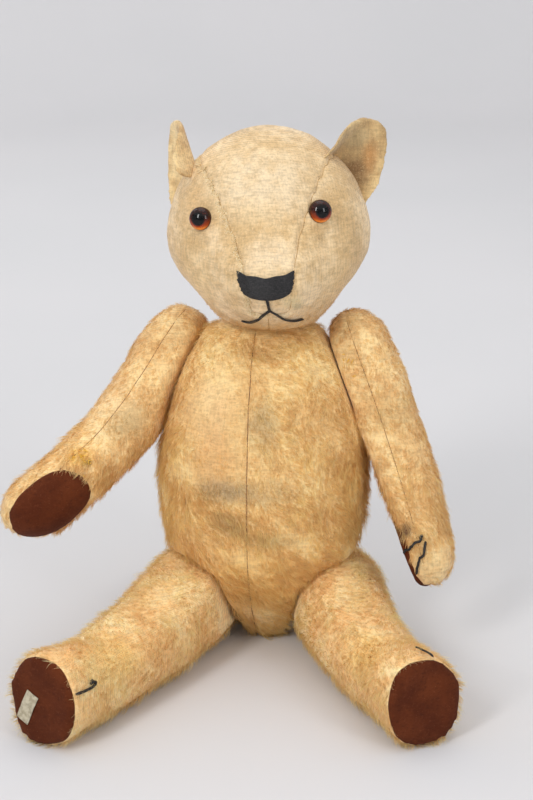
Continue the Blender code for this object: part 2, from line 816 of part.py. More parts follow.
def build_eye(side, tree, parent):
    """A glass dome on a wire shank. Returns a cutter for the shank's hole."""
    place, normal = on_face(
        tree, SIDES[side] * EYE_SPREAD[side], HEAD_MIDDLE[2] + EYE_HEIGHT[side], GAP * 3
    )
    frame = frame_along(place, normal, Vector((0, 0, 1)))
    profile = [(0, -0.012), (0.0010, -0.012), (0.0010, 0.0)]
    steps = 4
    for step in range(steps + 1):
        turn = math.pi / 2 * step / steps
        profile.append((EYE_RADIUS * math.cos(turn), 0.0008 + 0.0058 * math.sin(turn)))
    profile.insert(3, (EYE_RADIUS * 0.97, 0.0))
    profile[-1] = (0, profile[-1][1])
    finish(turned("eye", profile, frame, 14), "eye_" + side, "glass", parent)
    hole = [(0, -0.0125), (0.0014, -0.0125), (0.0014, 0.002), (0, 0.002)]
    return turned("shank", hole, frame, 8)


def build_nose(tree, grown, parent):
    """The block of satin stitches, and the thread that runs down from it into the mouth."""
    middle = HEAD_MIDDLE[2] - MUZZLE_DROP + 0.009
    bm = bmesh.new()
    across, down = 10, 6
    layers = []
    for lift in (0.0022, -0.0015):
        layer = []
        for row in range(down + 1):
            fall = row / down
            half = NOSE_WIDTH / 2 * (1 - 0.16 * fall - 0.42 * fall**4)
            line = []
            for column in range(across + 1):
                share = 2 * column / across - 1
                x = half * share
                dip = 0.004 * (1 - share * share) * (1 - fall)
                z = middle + NOSE_HEIGHT * (0.5 - fall) - dip - 0.002 * fall * (1 - share * share)
                line.append(bm.verts.new(on_face(tree, x, z, lift)[0]))
            layer.append(line)
        layers.append(layer)
    for row in range(down):
        for column in range(across):
            for layer in layers:
                bm.faces.new(
                    (
                        layer[row][column],
                        layer[row][column + 1],
                        layer[row + 1][column + 1],
                        layer[row + 1][column],
                    )
                )
    top, under = layers
    rim = [(0, k) for k in range(across)] + [(k, across) for k in range(down)]
    rim += [(down, across - k) for k in range(across)] + [(down - k, 0) for k in range(down)]
    for (r, c), (r2, c2) in zip(rim, rim[1:] + rim[:1]):
        bm.faces.new((top[r][c], top[r2][c2], under[r2][c2], under[r][c]))
    nose = to_object(bm, "nose")
    base = middle - NOSE_HEIGHT / 2 - 0.0035
    drop = 0.007
    spread, fall = 0.0215, 0.0075
    lift = THREAD_RADIUS + GAP
    outline = [
        (-spread, -drop - fall * 0.9),
        (-spread * 0.6, -drop - fall * 0.75),
        (-0.0014, -drop - 0.0015),
        (-0.0011, 0.0045),
    ]
    outline += [(-x, z) for x, z in reversed(outline)]
    line = smooth_path([Vector((x, 0, base + z)) for x, z in outline], 3)
    places = [on_face(tree, point.x, point.z, lift)[0] for point in line]
    cut(nose, wire("mouth", places, THREAD_RADIUS), "UNION")
    cut(nose, grown)
    finish(nose, "nose_and_mouth_stitching", "thread", parent)


def ear_leaf(side, behind, thick):
    """One cloth piece of an ear: half a disc bent round its upright axis into a cup."""
    sign = SIDES[side]
    columns, rows = 10, 6
    bm = bmesh.new()
    layers = []
    for lift in (behind, behind + thick):
        layer = []
        for row in range(rows + 1):
            rise = row / rows
            line = []
            for column in range(columns + 1):
                turn = math.pi * (column / columns)
                across = -math.cos(turn)
                reach = math.sqrt(max(0.0, 1 - across * across * 0.999))
                x = EAR_RADIUS * across
                z = EAR_RADIUS * (EAR_RISE * rise * reach - 0.32)
                cup = EAR_CUP * (across * across + 0.35 * rise * rise)
                line.append(Vector((x, -cup + lift, z)))
            layer.append(line)
        layers.append(layer)
    grid = [[[bm.verts.new(p) for p in line] for line in layer] for layer in layers]
    for row in range(rows):
        for column in range(columns):
            for layer in grid:
                bm.faces.new(
                    (
                        layer[row][column],
                        layer[row][column + 1],
                        layer[row + 1][column + 1],
                        layer[row + 1][column],
                    )
                )
    rim = [(0, k) for k in range(columns)] + [(k, columns) for k in range(rows)]
    rim += [(rows, columns - k) for k in range(columns)] + [(rows - k, 0) for k in range(rows)]
    front, back = grid
    for (r, c), (r2, c2) in zip(rim, rim[1:] + rim[:1]):
        bm.faces.new((front[r][c], front[r2][c2], back[r2][c2], back[r][c]))
    bmesh.ops.remove_doubles(bm, verts=bm.verts, dist=0.00005)
    place = Matrix.Translation(Vector(HEAD_MIDDLE) + Vector((sign * EAR_SPREAD[side], EAR_BACK, EAR_HEIGHT)))
    place = HEAD @ place @ Matrix.Rotation(math.radians(EAR_TURN[side]), 4, "Z")
    place = place @ Matrix.Rotation(math.radians(sign * EAR_SLANT[side]), 4, "Y")
    bmesh.ops.transform(bm, matrix=place, verts=bm.verts)
    return to_object(bm, "ear")


def build_ear(side, grown, parent):
    """The front and the back cloth of an ear, cut to sit on the head."""
    for label, behind in (("front", -CLOTH * 0.75 - GAP / 2), ("back", GAP / 2)):
        leaf = ear_leaf(side, behind, CLOTH * 0.75)
        cut(leaf, grown, keep_cutter=True)
        finish(leaf, "ear_" + side + "_" + label, "head_mohair", parent)


# Limbs


def oval_cutter(middle, direction, along, length, width, start, stop):
    """An oval prism from start to stop along the direction."""
    bm = bmesh.new()
    forward = (along - direction * along.dot(direction)).normalized()
    across = direction.cross(forward)
    rings = []
    for reach in (start, stop):
        ring = []
        for step in range(OVAL_SIDES):
            a, b = oval(math.tau * step / OVAL_SIDES, length / 2, width / 2, 2.3)
            ring.append(bm.verts.new(middle + direction * reach + forward * a + across * b))
        rings.append(ring)
    for step in range(OVAL_SIDES):
        after = (step + 1) % OVAL_SIDES
        bm.faces.new((rings[0][step], rings[0][after], rings[1][after], rings[1][step]))
    for ring in rings:
        bm.faces.new(ring)
    return to_object(bm, "oval")


def palm_direction(side, across, front):
    """Where the paw pad faces: towards the body, turned to the front by the palm angle."""
    turn = math.radians(ARMS[side]["palm"])
    return (-across * math.cos(turn) + front * math.sin(turn)).normalized()


def build_arm(side, bodies):
    """An outer and an inner piece of mohair, a felt paw pad and the claw threads, over one stuffing."""
    joint = "shoulder_" + side
    parent = bodies["arm_" + side]
    planes = [face_plane(joint, True)]

    def shape(inset):
        return arm_shape(side, inset)

    cover = solid(shape, 0.0, planes, "cover")
    tree = surface_tree(cover)
    stuffing = solid(shape, CLOTH + GAP, planes, "stuffing")
    cut(cover, solid(shape, CLOTH, planes, "inside"))
    room = pocket(joint, True)
    cut(stuffing, room, keep_cutter=True)
    cut(cover, room)
    finish(stuffing, "arm_" + side + "_stuffing", "stuffing", parent)

    middle, across, front = arm_section(side, PAW_PAD_PLACE)[:3]
    ahead = arm_section(side, PAW_PAD_PLACE + 0.02)[0] - middle
    palm = palm_direction(side, across, front)
    pad = copy_of(cover)
    size = (PAW_PAD_LENGTH - SEAM, PAW_PAD_WIDTH - SEAM)
    cut(pad, oval_cutter(middle, palm, ahead, *size, 0.002, 0.06), "INTERSECT")
    finish(pad, "paw_pad_" + side, "felt", parent)
    size = (PAW_PAD_LENGTH + SEAM, PAW_PAD_WIDTH + SEAM)
    cut(cover, oval_cutter(middle, palm, ahead, *size, 0.002, 0.06))

    divider = side_divider(side)
    outer_piece = copy_of(cover)
    cut(outer_piece, divider(SEAM / 2, 1), "INTERSECT")
    finish(outer_piece, "arm_" + side + "_outer", "body_mohair", parent)
    cut(cover, divider(-SEAM / 2, -1), "INTERSECT")
    finish(cover, "arm_" + side + "_inner", "body_mohair", parent)
    build_paw_claws(side, tree, parent)


def side_divider(side):
    """Makes a slab that follows the arm's middle surface and holds its outer (+1) or its inner (-1) half."""

    def made(shift, sign):
        bm = bmesh.new()
        rings = []
        places = [-0.06 + 0.03 * k for k in range(10)]
        for place in places:
            middle, across, front, _, _ = arm_section(side, min(place, ARM_LENGTH))
            _, _, along = limb_axes("shoulder_" + side, ARMS[side]["swing"])
            middle = middle + along * max(0.0, place - ARM_LENGTH)
            ring = []
            for reach, width in ((shift, -0.06), (shift, 0.06), (sign * 0.06, 0.06), (sign * 0.06, -0.06)):
                ring.append(bm.verts.new(middle + across * reach + front * width))
            rings.append(ring)
        join_rings(bm, rings)
        return to_object(bm, "divider")

    return made


def claw_thread(tree, places, grown):
    """A thread that lies on the surface near the given places, flattened where it presses on the cloth."""
    points = []
    for place in smooth_path(places, 4):
        near, normal, _, _ = tree.find_nearest(place)
        points.append(near + normal * (THREAD_RADIUS + GAP))
    return cut(wire("claws", points, THREAD_RADIUS), grown)


def build_paw_claws(side, tree, parent):
    """The claw thread: one long stitch over the back of the paw and back again."""
    middle, across, front = arm_section(side, ARM_LENGTH - 0.034)[:3]
    tip = arm_section(side, ARM_LENGTH - 0.006)[0]
    palm = palm_direction(side, across, front)
    cross = (tip - middle).normalized().cross(palm).normalized()
    back = middle - palm * 0.05
    places = [
        back + cross * 0.013,
        back - cross * 0.012,
        tip - palm * 0.018 - cross * 0.008,
    ]
    if side == "right":
        places = [tip - palm * 0.02 + cross * 0.010, tip - palm * 0.02 - cross * 0.004]
    grown = solid(lambda inset: arm_shape(side, inset), -GAP, [], "grown")
    finish(claw_thread(tree, places, grown), "paw_claws_" + side, "thread", parent)


def build_leg(side, bodies):
    """A wrapped mohair cover, a felt foot pad on a card insole and the claw thread, over one stuffing."""
    joint = "hip_" + side
    parent = bodies["leg_" + side]
    sole, normal = sole_plane(side)
    hip_face = face_plane(joint, True)

    def shape(inset):
        return leg_shape(side, inset)

    def part(inset, name, low, high=None):
        """The leg's shape, shortened so that it ends at low (and starts at high) below the sole's face."""
        bm = shape(inset)
        point, direction = hip_face
        clip(bm, point - direction * inset, direction)
        clip(bm, sole - normal * low, normal)
        if high is not None:
            clip(bm, sole - normal * high, -normal)
        return to_object(bm, name)

    pad_end = CLOTH + GAP
    insole_end = pad_end + INSOLE + GAP
    cover = part(0.0, "cover", pad_end)
    tree = surface_tree(cover)
    cut(cover, part(CLOTH, "inside", -0.01))
    stuffing = part(CLOTH + GAP, "stuffing", insole_end)
    room = pocket(joint, True)
    cut(stuffing, room, keep_cutter=True)
    cut(cover, room)
    finish(cover, "leg_" + side + "_cover", "body_mohair", parent)
    finish(stuffing, "leg_" + side + "_stuffing", "stuffing", parent)
    finish(part(0.0, "pad", 0.0, CLOTH), "foot_pad_" + side, "felt", parent)
    insole = part(CLOTH + GAP, "insole", pad_end, pad_end + INSOLE)
    finish(insole, "insole_" + side, "card", parent)

    middle, across, front, _, tall = leg_section(side, LEG_LENGTH[side] - CLAW_BACK)
    top = middle + front * tall
    reach = normal * CLAW_LENGTH / 2
    places = [top - reach - across * 0.002, top, top + reach + across * 0.003]
    grown = solid(shape, -GAP, [], "grown")
    finish(claw_thread(tree, places, grown), "foot_claws_" + side, "thread", parent)
    if side == "right":
        build_label(sole, normal, across, parent)


def build_label(sole, normal, across, parent):
    """A blank fabric label sewn flat on the sole."""
    length, width, thick = LABEL_SIZE
    frame = frame_along(sole + normal * GAP, normal, Vector((0, 0, 1)))
    frame = frame @ Matrix.Translation(LABEL_PLACE) @ Matrix.Rotation(math.radians(LABEL_TURN), 4, "Z")
    low, high = (-width / 2, -length / 2, 0), (width / 2, length / 2, thick)
    finish(box_between(low, high, frame), "foot_label", "label", parent)


def empty_at(name, frame):
    marker = bpy.data.objects.new(name, None)
    marker.matrix_world = frame
    bpy.context.scene.collection.objects.link(marker)
    return marker


def main():
    clear_scene()
    bodies = {"torso": empty_at("torso_middle", BODY), "head": empty_at("neck_axis", JOINTS["neck"])}
    for side in SIDES:
        bodies["arm_" + side] = empty_at("shoulder_axis_" + side, JOINTS["shoulder_" + side])
        bodies["leg_" + side] = empty_at("hip_axis_" + side, JOINTS["hip_" + side])
    bpy.context.view_layer.update()
    build_body(bodies)
    build_head(bodies)
    for side in SIDES:
        build_arm(side, bodies)
        build_leg(side, bodies)
    for joint in JOINTS:
        hardware(joint, bodies)


main()
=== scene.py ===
"""Jointed mohair teddy bear: the visible model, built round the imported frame."""

import json
import math

import bmesh
import bpy
import numpy as np
from mathutils import Matrix, Vector
from mathutils.bvhtree import BVHTree
from mathutils.kdtree import KDTree


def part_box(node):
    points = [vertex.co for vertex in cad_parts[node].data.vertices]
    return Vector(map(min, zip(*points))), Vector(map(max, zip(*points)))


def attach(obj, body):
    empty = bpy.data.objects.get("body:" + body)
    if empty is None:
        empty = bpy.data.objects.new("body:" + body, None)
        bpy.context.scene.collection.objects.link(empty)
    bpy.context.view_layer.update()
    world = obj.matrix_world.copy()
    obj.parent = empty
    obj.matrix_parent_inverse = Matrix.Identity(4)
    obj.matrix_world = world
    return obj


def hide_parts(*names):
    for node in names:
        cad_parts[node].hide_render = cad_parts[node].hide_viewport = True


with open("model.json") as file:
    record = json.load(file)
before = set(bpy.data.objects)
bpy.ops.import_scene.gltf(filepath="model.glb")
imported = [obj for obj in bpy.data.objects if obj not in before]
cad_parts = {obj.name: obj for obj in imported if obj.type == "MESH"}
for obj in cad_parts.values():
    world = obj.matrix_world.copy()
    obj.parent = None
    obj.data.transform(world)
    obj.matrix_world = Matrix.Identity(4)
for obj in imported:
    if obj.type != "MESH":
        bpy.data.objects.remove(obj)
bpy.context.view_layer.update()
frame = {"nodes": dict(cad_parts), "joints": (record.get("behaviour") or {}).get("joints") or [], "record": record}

NODES = frame["nodes"]
SIDES = ("left", "right")
MM = 0.001
TORSO = ("body_panel_left", "body_panel_right")

# Covers
VOXEL = 3.0 * MM
EAR_VOXEL = 1.3 * MM
SWELL = 1.0 * MM  # how far the stuffing pushes the cloth out
LUMP = 1.1 * MM
SEAM_DEPTH = 1.5 * MM
SEAM_WIDTH = 2.0 * MM
STUFFING_INSET = 3.6 * MM
TURN_GAP = 0.6 * MM  # between the two flat faces of a joint
FLOOR_GAP = 0.25 * MM
PLUG_RADIUS = 0.008  # the plug that closes a cover's pin hole
PLUG_IN_BODY = 0.0036
PLUG_IN_LIMB = 0.0042
WELD = 1e-6  # vertices closer than this are one

# Stitching
THREAD = 0.75 * MM
CLAW_THREAD = 1.05 * MM
CLAW_LIFT = 1.7 * MM  # how far the claw stitches lie over the skin
CLAW_REACH = 30  # from the middle of a limb to outside its skin, in millimetres
LABEL_LENGTH = 0.024
LABEL_WIDTH = 0.011
NOSE_WIDTH = 0.0395
NOSE_SIDE = 0.0140  # height of the nose at its sides
NOSE_DROP = 0.0038  # how much lower its middle reaches
MOUTH_STEM = 0.0097
MOUTH_FALL = 0.0155

# Eyes
EYE_RADIUS = 0.0086
EYE_STAND_OFF = 0.0016

# Camera and stage
AIM = Vector((0, 0, 0.196))
CAMERA_TURN = 8.0
CAMERA_RISE = 18.0
CAMERA_DISTANCE = 1.404
LENS = 81.0


# Numbers


def srgb(red, green, blue):
    """A colour from 0 to 255 as Blender's linear values."""
    values = []
    for value in (red, green, blue):
        value /= 255
        values.append(value / 12.92 if value <= 0.04045 else ((value + 0.055) / 1.055) ** 2.4)
    return (*values, 1.0)


def smooth_step(value, low, high):
    share = np.clip((value - low) / (high - low), 0, 1)
    return share * share * (3 - 2 * share)


def unit(vectors):
    return vectors / np.maximum(np.linalg.norm(vectors, axis=-1, keepdims=True), 1e-12)


def waves(points, size, seed):
    """Smooth seeded noise from about -1 to 1, with lumps of about this size."""
    rng = np.random.default_rng(seed)
    total = np.zeros(len(points))
    for _ in range(7):
        way = rng.normal(size=3)
        way *= rng.uniform(0.7, 1.6) * math.pi / (size * np.linalg.norm(way))
        total += np.sin(points @ way + rng.uniform(0, math.tau))
    return total / 2.6


def blob(points, middle, radius):
    """1 in the middle of an ellipsoid, falling to 0 at its surface."""
    away = np.linalg.norm((points - np.array(middle)) / np.array(radius), axis=1)
    return 1 - smooth_step(away, 0.35, 1.0)


def relax(values, edges, rounds, share=0.5):
    """Each vertex's value moved towards the mean of its neighbours, this many times."""
    number = len(values)
    flat = np.array(values, float).reshape(number, -1)
    count = np.maximum(np.bincount(edges.ravel(), minlength=number), 1)
    first, second = edges[:, 0], edges[:, 1]
    for _ in range(rounds):
        for column in range(flat.shape[1]):
            total = np.bincount(first, weights=flat[second, column], minlength=number)
            total += np.bincount(second, weights=flat[first, column], minlength=number)
            flat[:, column] += share * (total / count - flat[:, column])
    return flat.reshape(np.shape(values))


# Frames


def joint_place(name):
    """A joint's position and the direction from the body out to the limb."""
    joint = next(j for j in frame["joints"] if j["name"] == name)
    place = Vector(joint["pos_m"])
    axis = Vector(joint["axis"]).normalized()
    if name == "neck":
        cover = "head_gusset"
    else:
        kind, side = name.split("_")
        cover = f"arm_{side}_outer" if kind == "shoulder" else f"leg_{side}_cover"
    low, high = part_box(cover)
    return place, axis if ((low + high) / 2 - place).dot(axis) > 0 else -axis


JOINTS = {j["name"]: joint_place(j["name"]) for j in frame["joints"]}
HEAD = (
    Matrix.Translation(JOINTS["neck"][0] + JOINTS["neck"][1] * TURN_GAP)
    @ Matrix.Rotation(math.radians(-5), 4, "X")
    @ Matrix.Rotation(math.radians(8), 4, "Z")
    @ Matrix.Rotation(math.radians(5), 4, "X")
    @ Matrix.Rotation(math.radians(-2.4), 4, "Y")
)


def head_point(x, y, z):
    """A point given in the head's own frame."""
    return HEAD @ Vector((x, y, z))


def box_point(nodes, across, ahead, up):
    """The point at these shares of the box round some CAD nodes, from its lowest corner."""
    corners = np.array([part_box(node) for node in nodes])
    low, high = corners[:, 0].min(axis=0), corners[:, 1].max(axis=0)
    return Vector(low + (high - low) * np.array((across, ahead, up)))


def joint_fade(points, joints, reach):
    """0 on the flat faces of these joints, rising to 1 this far from them."""
    fade = np.ones(len(points))
    for name in joints:
        place, way = JOINTS[name]
        away = points - np.array(place)
        along = away @ np.array(way)
        out = np.linalg.norm(away - along[:, None] * np.array(way), axis=1)
        near = smooth_step(np.abs(along), 0.8 * MM, reach)
        fade = np.minimum(fade, np.maximum(near, smooth_step(out, 0.040, 0.050)))
    return fade


# Meshes


def new_object(name, mesh):
    thing = bpy.data.objects.new(name, mesh)
    bpy.context.scene.collection.objects.link(thing)
    return thing


def read(rows, field, width, kind=np.float32):
    values = np.zeros(len(rows) * width, kind)
    rows.foreach_get(field, values)
    return values.reshape(-1, width)


def positions(mesh):
    return read(mesh.vertices, "co", 3).astype(float)


def normals_of(mesh):
    return read(mesh.vertex_normals, "vector", 3).astype(float)


def edges_of(mesh):
    return read(mesh.edges, "vertices", 2, np.int32)


def bmesh_of(mesh):
    bm = bmesh.new()
    bm.from_mesh(mesh)
    return bm


def written(bm, mesh):
    """Writes a bmesh into a mesh, or into a new one of this name, and frees it."""
    if isinstance(mesh, str):
        mesh = bpy.data.meshes.new(mesh)
    bm.to_mesh(mesh)
    bm.free()
    return mesh


def loft(bm, rows):
    """Closed rings joined by faces. A ring of one vertex is a pole."""
    around = max(len(row) for row in rows)
    for before, after in zip(rows, rows[1:]):
        for k in range(around):
            near, far = k % len(before), (k + 1) % len(before)
            ring = [before[near], after[k % len(after)], after[(k + 1) % len(after)], before[far]]
            bm.faces.new(list(dict.fromkeys(ring)))
    bmesh.ops.recalc_face_normals(bm, faces=bm.faces)


def move_to(mesh, places):
    mesh.vertices.foreach_set("co", places.astype(np.float32).ravel())
    mesh.update()


def skin_tree(*things):
    """A search tree of some objects' surfaces."""
    points, faces = [], []
    for thing in things:
        start = len(points)
        points += [v.co.copy() for v in thing.data.vertices]
        faces += [[start + i for i in p.vertices] for p in thing.data.polygons]
    return BVHTree.FromPolygons(points, faces)


def tree_of(*names):
    """A search tree of some CAD nodes' surfaces."""
    return skin_tree(*[NODES[name] for name in names])


def distances(tree, places):
    return np.array([tree.find_nearest(p)[3] for p in places.tolist()])


def applied(thing):
    """The object with its modifiers applied."""
    graph = bpy.context.evaluated_depsgraph_get()
    mesh = bpy.data.meshes.new_from_object(thing.evaluated_get(graph))
    thing.modifiers.clear()
    thing.data = mesh
    return thing


def largest_island(mesh):
    bm = bmesh_of(mesh)
    seen, best = set(), []
    for vert in bm.verts:
        if vert in seen:
            continue
        island, queue = [], [vert]
        seen.add(vert)
        while queue:
            at = queue.pop()
            island.append(at)
            for edge in at.link_edges:
                other = edge.other_vert(at)
                if other not in seen:
                    seen.add(other)
                    queue.append(other)
        if len(island) > len(best):
            best = island
    keep = set(best)
    bmesh.ops.delete(bm, geom=[v for v in bm.verts if v not in keep], context="VERTS")
    written(bm, mesh)


def skin(name, nodes, joints, voxel, rounds, swell=SWELL, lump=LUMP, fine=1):
    """One smooth closed skin round some CAD nodes. The swell fades out at the joints' flat faces."""
    bm = bmesh.new()
    for node in nodes:
        bm.from_mesh(NODES[node].data)
    for joint in joints:
        place, way = JOINTS[joint]
        middle = place + way * (-PLUG_IN_BODY if name == "torso" else PLUG_IN_LIMB)
        turn = Vector((0, 0, 1)).rotation_difference(way).to_matrix().to_4x4()
        bmesh.ops.create_cone(
            bm, cap_ends=True, segments=16, radius1=PLUG_RADIUS, radius2=PLUG_RADIUS, depth=6 * MM,
            matrix=Matrix.Translation(middle) @ turn,
        )
    bmesh.ops.remove_doubles(bm, verts=bm.verts, dist=WELD)
    thing = new_object(name, written(bm, name))
    remesh = thing.modifiers.new("remesh", "REMESH")
    remesh.mode = "VOXEL"
    remesh.voxel_size = voxel
    applied(thing)
    mesh = thing.data
    largest_island(mesh)
    edges = edges_of(mesh)
    start = relax(positions(mesh), edges, 2)
    calm = relax(start, edges, rounds)
    move_to(mesh, calm)
    normals = relax(normals_of(mesh), edges, 3)
    back = relax(np.einsum("ij,ij->i", start - calm, normals), edges, rounds // 2)
    fade = joint_fade(calm, joints, 6 * MM)
    push = waves(calm, 0.034, 11) * 0.7 + waves(calm, 0.016, 12) * 0.3
    places = calm + normals * (back + fade * (swell + lump * push))[:, None]
    move_to(mesh, places)
    if fine:
        subdivide = thing.modifiers.new("subdivide", "SUBSURF")
        subdivide.levels = subdivide.render_levels = fine
        applied(thing)
    places = positions(thing.data)
    places[:, 2] = np.maximum(places[:, 2], FLOOR_GAP)
    move_to(thing.data, places)
    return thing


def inner_filling(name, thing, body, node):
    """The stuffing: a closed copy of the skin, moved inwards."""
    mesh = thing.data.copy()
    mesh.name = name
    made = new_object(name, mesh)
    edges = edges_of(mesh)
    places = relax(positions(mesh), edges, 6)
    normals = relax(normals_of(mesh), edges, 6)
    move_to(mesh, places - normals * STUFFING_INSET)
    thin = made.modifiers.new("thin", "DECIMATE")
    thin.ratio = 0.25
    applied(made)
    dress(made, "stuffing", body, [node])
    return made


def cut_in_two(bm, values):
    """Cuts a bmesh along the zero line of a value per vertex. Returns the faces where it is below zero."""
    layer = bm.verts.layers.float.new("side")
    for vert, value in zip(bm.verts, values.tolist()):
        vert[layer] = value if value != 0 else 1e-9
    fresh = {}  # new vertices, in the order they are made, so that every run cuts the same way
    for edge in [e for e in bm.edges if (e.verts[0][layer] > 0) != (e.verts[1][layer] > 0)]:
        first, second = edge.verts
        share = first[layer] / (first[layer] - second[layer])
        vert = bmesh.utils.edge_split(edge, first, min(0.97, max(0.03, share)))[1]
        vert[layer] = 0.0
        fresh[vert] = True
    for face in dict.fromkeys(f for v in fresh for f in v.link_faces):
        ends = [v for v in face.verts if v in fresh]
        pairs = [ends] if len(ends) == 2 else [ends[0:2], ends[2:4]] if len(ends) == 4 else []
        for first, second in pairs:
            shared = [f for f in first.link_faces if f in second.link_faces]
            for part in shared:
                near = any(e.other_vert(first) == second for e in first.link_edges)
                if part.is_valid and not near and len(part.verts) > 3:
                    bmesh.utils.face_split(part, first, second)
                    break
    return [f for f in bm.faces if sum(v[layer] for v in f.verts) < 0]


def taken_out(bm, faces, name):
    """Moves these faces of a bmesh into an object of their own."""
    keep = set(faces)
    part = bm.copy()
    part.faces.ensure_lookup_table()
    bm.faces.ensure_lookup_table()
    chosen = {f.index for f in keep}
    bmesh.ops.delete(part, geom=[f for f in part.faces if f.index not in chosen], context="FACES")
    bmesh.ops.delete(bm, geom=list(keep), context="FACES")
    return new_object(name, written(part, name))


def split(thing, values, name):
    """Cuts a cover where these values are zero. The part below zero becomes an object of its own."""
    bm = bmesh_of(thing.data)
    part = taken_out(bm, cut_in_two(bm, values), name)
    written(bm, thing.data)
    return part


def seam_pull(thing, gaps, depth=SEAM_DEPTH, width=SEAM_WIDTH):
    """Draws the skin in along the lines where these distances are zero."""
    mesh = thing.data
    normals = normals_of(mesh)
    pull = np.zeros(len(mesh.vertices))
    for gap in gaps:
        pull = np.maximum(pull, np.exp(-((gap / width) ** 2)))
    places = positions(mesh) - normals * (depth * pull)[:, None]
    places[:, 2] = np.maximum(places[:, 2], FLOOR_GAP)
    move_to(mesh, places)


def shade_smooth(mesh):
    mesh.polygons.foreach_set("use_smooth", np.ones(len(mesh.polygons), bool))


def dress(thing, material, body, nodes=(), slot=None):
    """Gives a piece its material and body, and hides the CAD nodes that it stands for. The slot argument is not
    used.
    """
    thing.data.materials.clear()
    thing.data.materials.append(MATERIALS[material])
    if thing.type == "MESH":
        shade_smooth(thing.data)
    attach(thing, body)
    if nodes:
        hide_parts(*nodes)
        slot = slot or SLOT_OF.get(nodes[0])
    return thing


SLOT_OF = {row["node"]: row["material_slot"] for row in frame["record"]["subparts"]}


# Materials

MATERIALS = {}


class Paint:
    """A small helper that adds nodes to one material."""

    def __init__(self, name, roughness=0.8):
        self.material = bpy.data.materials.new(name)
        self.material.use_nodes = True
        self.tree = self.material.node_tree
        self.shader = self.tree.nodes["Principled BSDF"]
        self.shader.inputs["Roughness"].default_value = roughness
        self.place = self.add("ShaderNodeTexCoord").outputs["Object"]
        MATERIALS[name] = self.material

    def add(self, kind, **settings):
        node = self.tree.nodes.new(kind)
        for key, value in settings.items():
            setattr(node, key, value)
        return node

    def feed(self, node, name, value):
        socket = node.inputs[name]
        if isinstance(value, bpy.types.NodeSocket):
            self.tree.links.new(value, socket)
        else:
            socket.default_value = value

    def noise(self, scale, detail=3.0, stretch=(1, 1, 1), roughness=0.55, turn=(0, 0, 0)):
        mapping = self.add("ShaderNodeMapping")
        self.feed(mapping, "Vector", self.place)
        self.feed(mapping, "Scale", stretch)
        self.feed(mapping, "Rotation", turn)
        node = self.add("ShaderNodeTexNoise")
        self.feed(node, "Vector", mapping.outputs["Vector"])
        self.feed(node, "Scale", scale)
        self.feed(node, "Detail", detail)
        self.feed(node, "Roughness", roughness)
        return node.outputs["Fac"]

    def wave(self, period, direction, distortion=1.5):
        node = self.add("ShaderNodeTexWave", bands_direction=direction)
        self.feed(node, "Vector", self.place)
        self.feed(node, "Scale", math.tau / 20 / period)
        self.feed(node, "Distortion", distortion)
        self.feed(node, "Detail", 2.0)
        self.feed(node, "Detail Scale", 1.5)
        return node.outputs["Fac"]

    def math(self, operation, first, second=0.0, third=0.0):
        node = self.add("ShaderNodeMath", operation=operation)
        for place, value in enumerate((first, second, third)):
            self.feed(node, place, value)
        return node.outputs["Value"]

    def span(self, value, low, high, to_low=0.0, to_high=1.0):
        node = self.add("ShaderNodeMapRange", interpolation_type="SMOOTHSTEP")
        self.feed(node, "Value", value)
        for name, number in zip(("From Min", "From Max", "To Min", "To Max"), (low, high, to_low, to_high)):
            self.feed(node, name, number)
        return node.outputs["Result"]

    def mix(self, share, first, second, blend="MIX"):
        node = self.add("ShaderNodeMix", data_type="RGBA", blend_type=blend)
        self.feed(node, 0, share)
        self.feed(node, 6, first)
        self.feed(node, 7, second)
        return node.outputs[2]

    def value(self, name):
        return self.add("ShaderNodeAttribute", attribute_name=name).outputs["Fac"]

    def blob(self, middle, radius):
        """1 in the middle of an ellipsoid, falling to 0 at its surface."""
        shift = self.add("ShaderNodeVectorMath", operation="SUBTRACT")
        self.feed(shift, 0, self.place)
        self.feed(shift, 1, tuple(middle))
        scale = self.add("ShaderNodeVectorMath", operation="DIVIDE")
        self.feed(scale, 0, shift.outputs[0])
        self.feed(scale, 1, tuple(radius))
        length = self.add("ShaderNodeVectorMath", operation="LENGTH")
        self.feed(length, 0, scale.outputs[0])
        return self.span(length.outputs["Value"], 0.25, 1.0, 1.0, 0.0)

    def bump(self, height, distance, strength=1.0):
        node = self.add("ShaderNodeBump")
        self.feed(node, "Height", height)
        self.feed(node, "Distance", distance)
        self.feed(node, "Strength", strength)
        self.feed(self.shader, "Normal", node.outputs["Normal"])

    def let_through(self, colour, share):
        """Lets this share of the light pass through to the other side."""
        through = self.add("ShaderNodeBsdfTranslucent")
        self.feed(through, "Color", colour)
        both = self.add("ShaderNodeMixShader")
        self.feed(both, 0, share)
        self.tree.links.new(self.shader.outputs["BSDF"], both.inputs[1])
        self.tree.links.new(through.outputs["BSDF"], both.inputs[2])
        self.tree.links.new(both.outputs["Shader"], self.tree.nodes["Material Output"].inputs["Surface"])

    def finish(self, colour, roughness=None):
        self.feed(self.shader, "Base Color", colour)
        if roughness is not None:
            self.feed(self.shader, "Roughness", roughness)


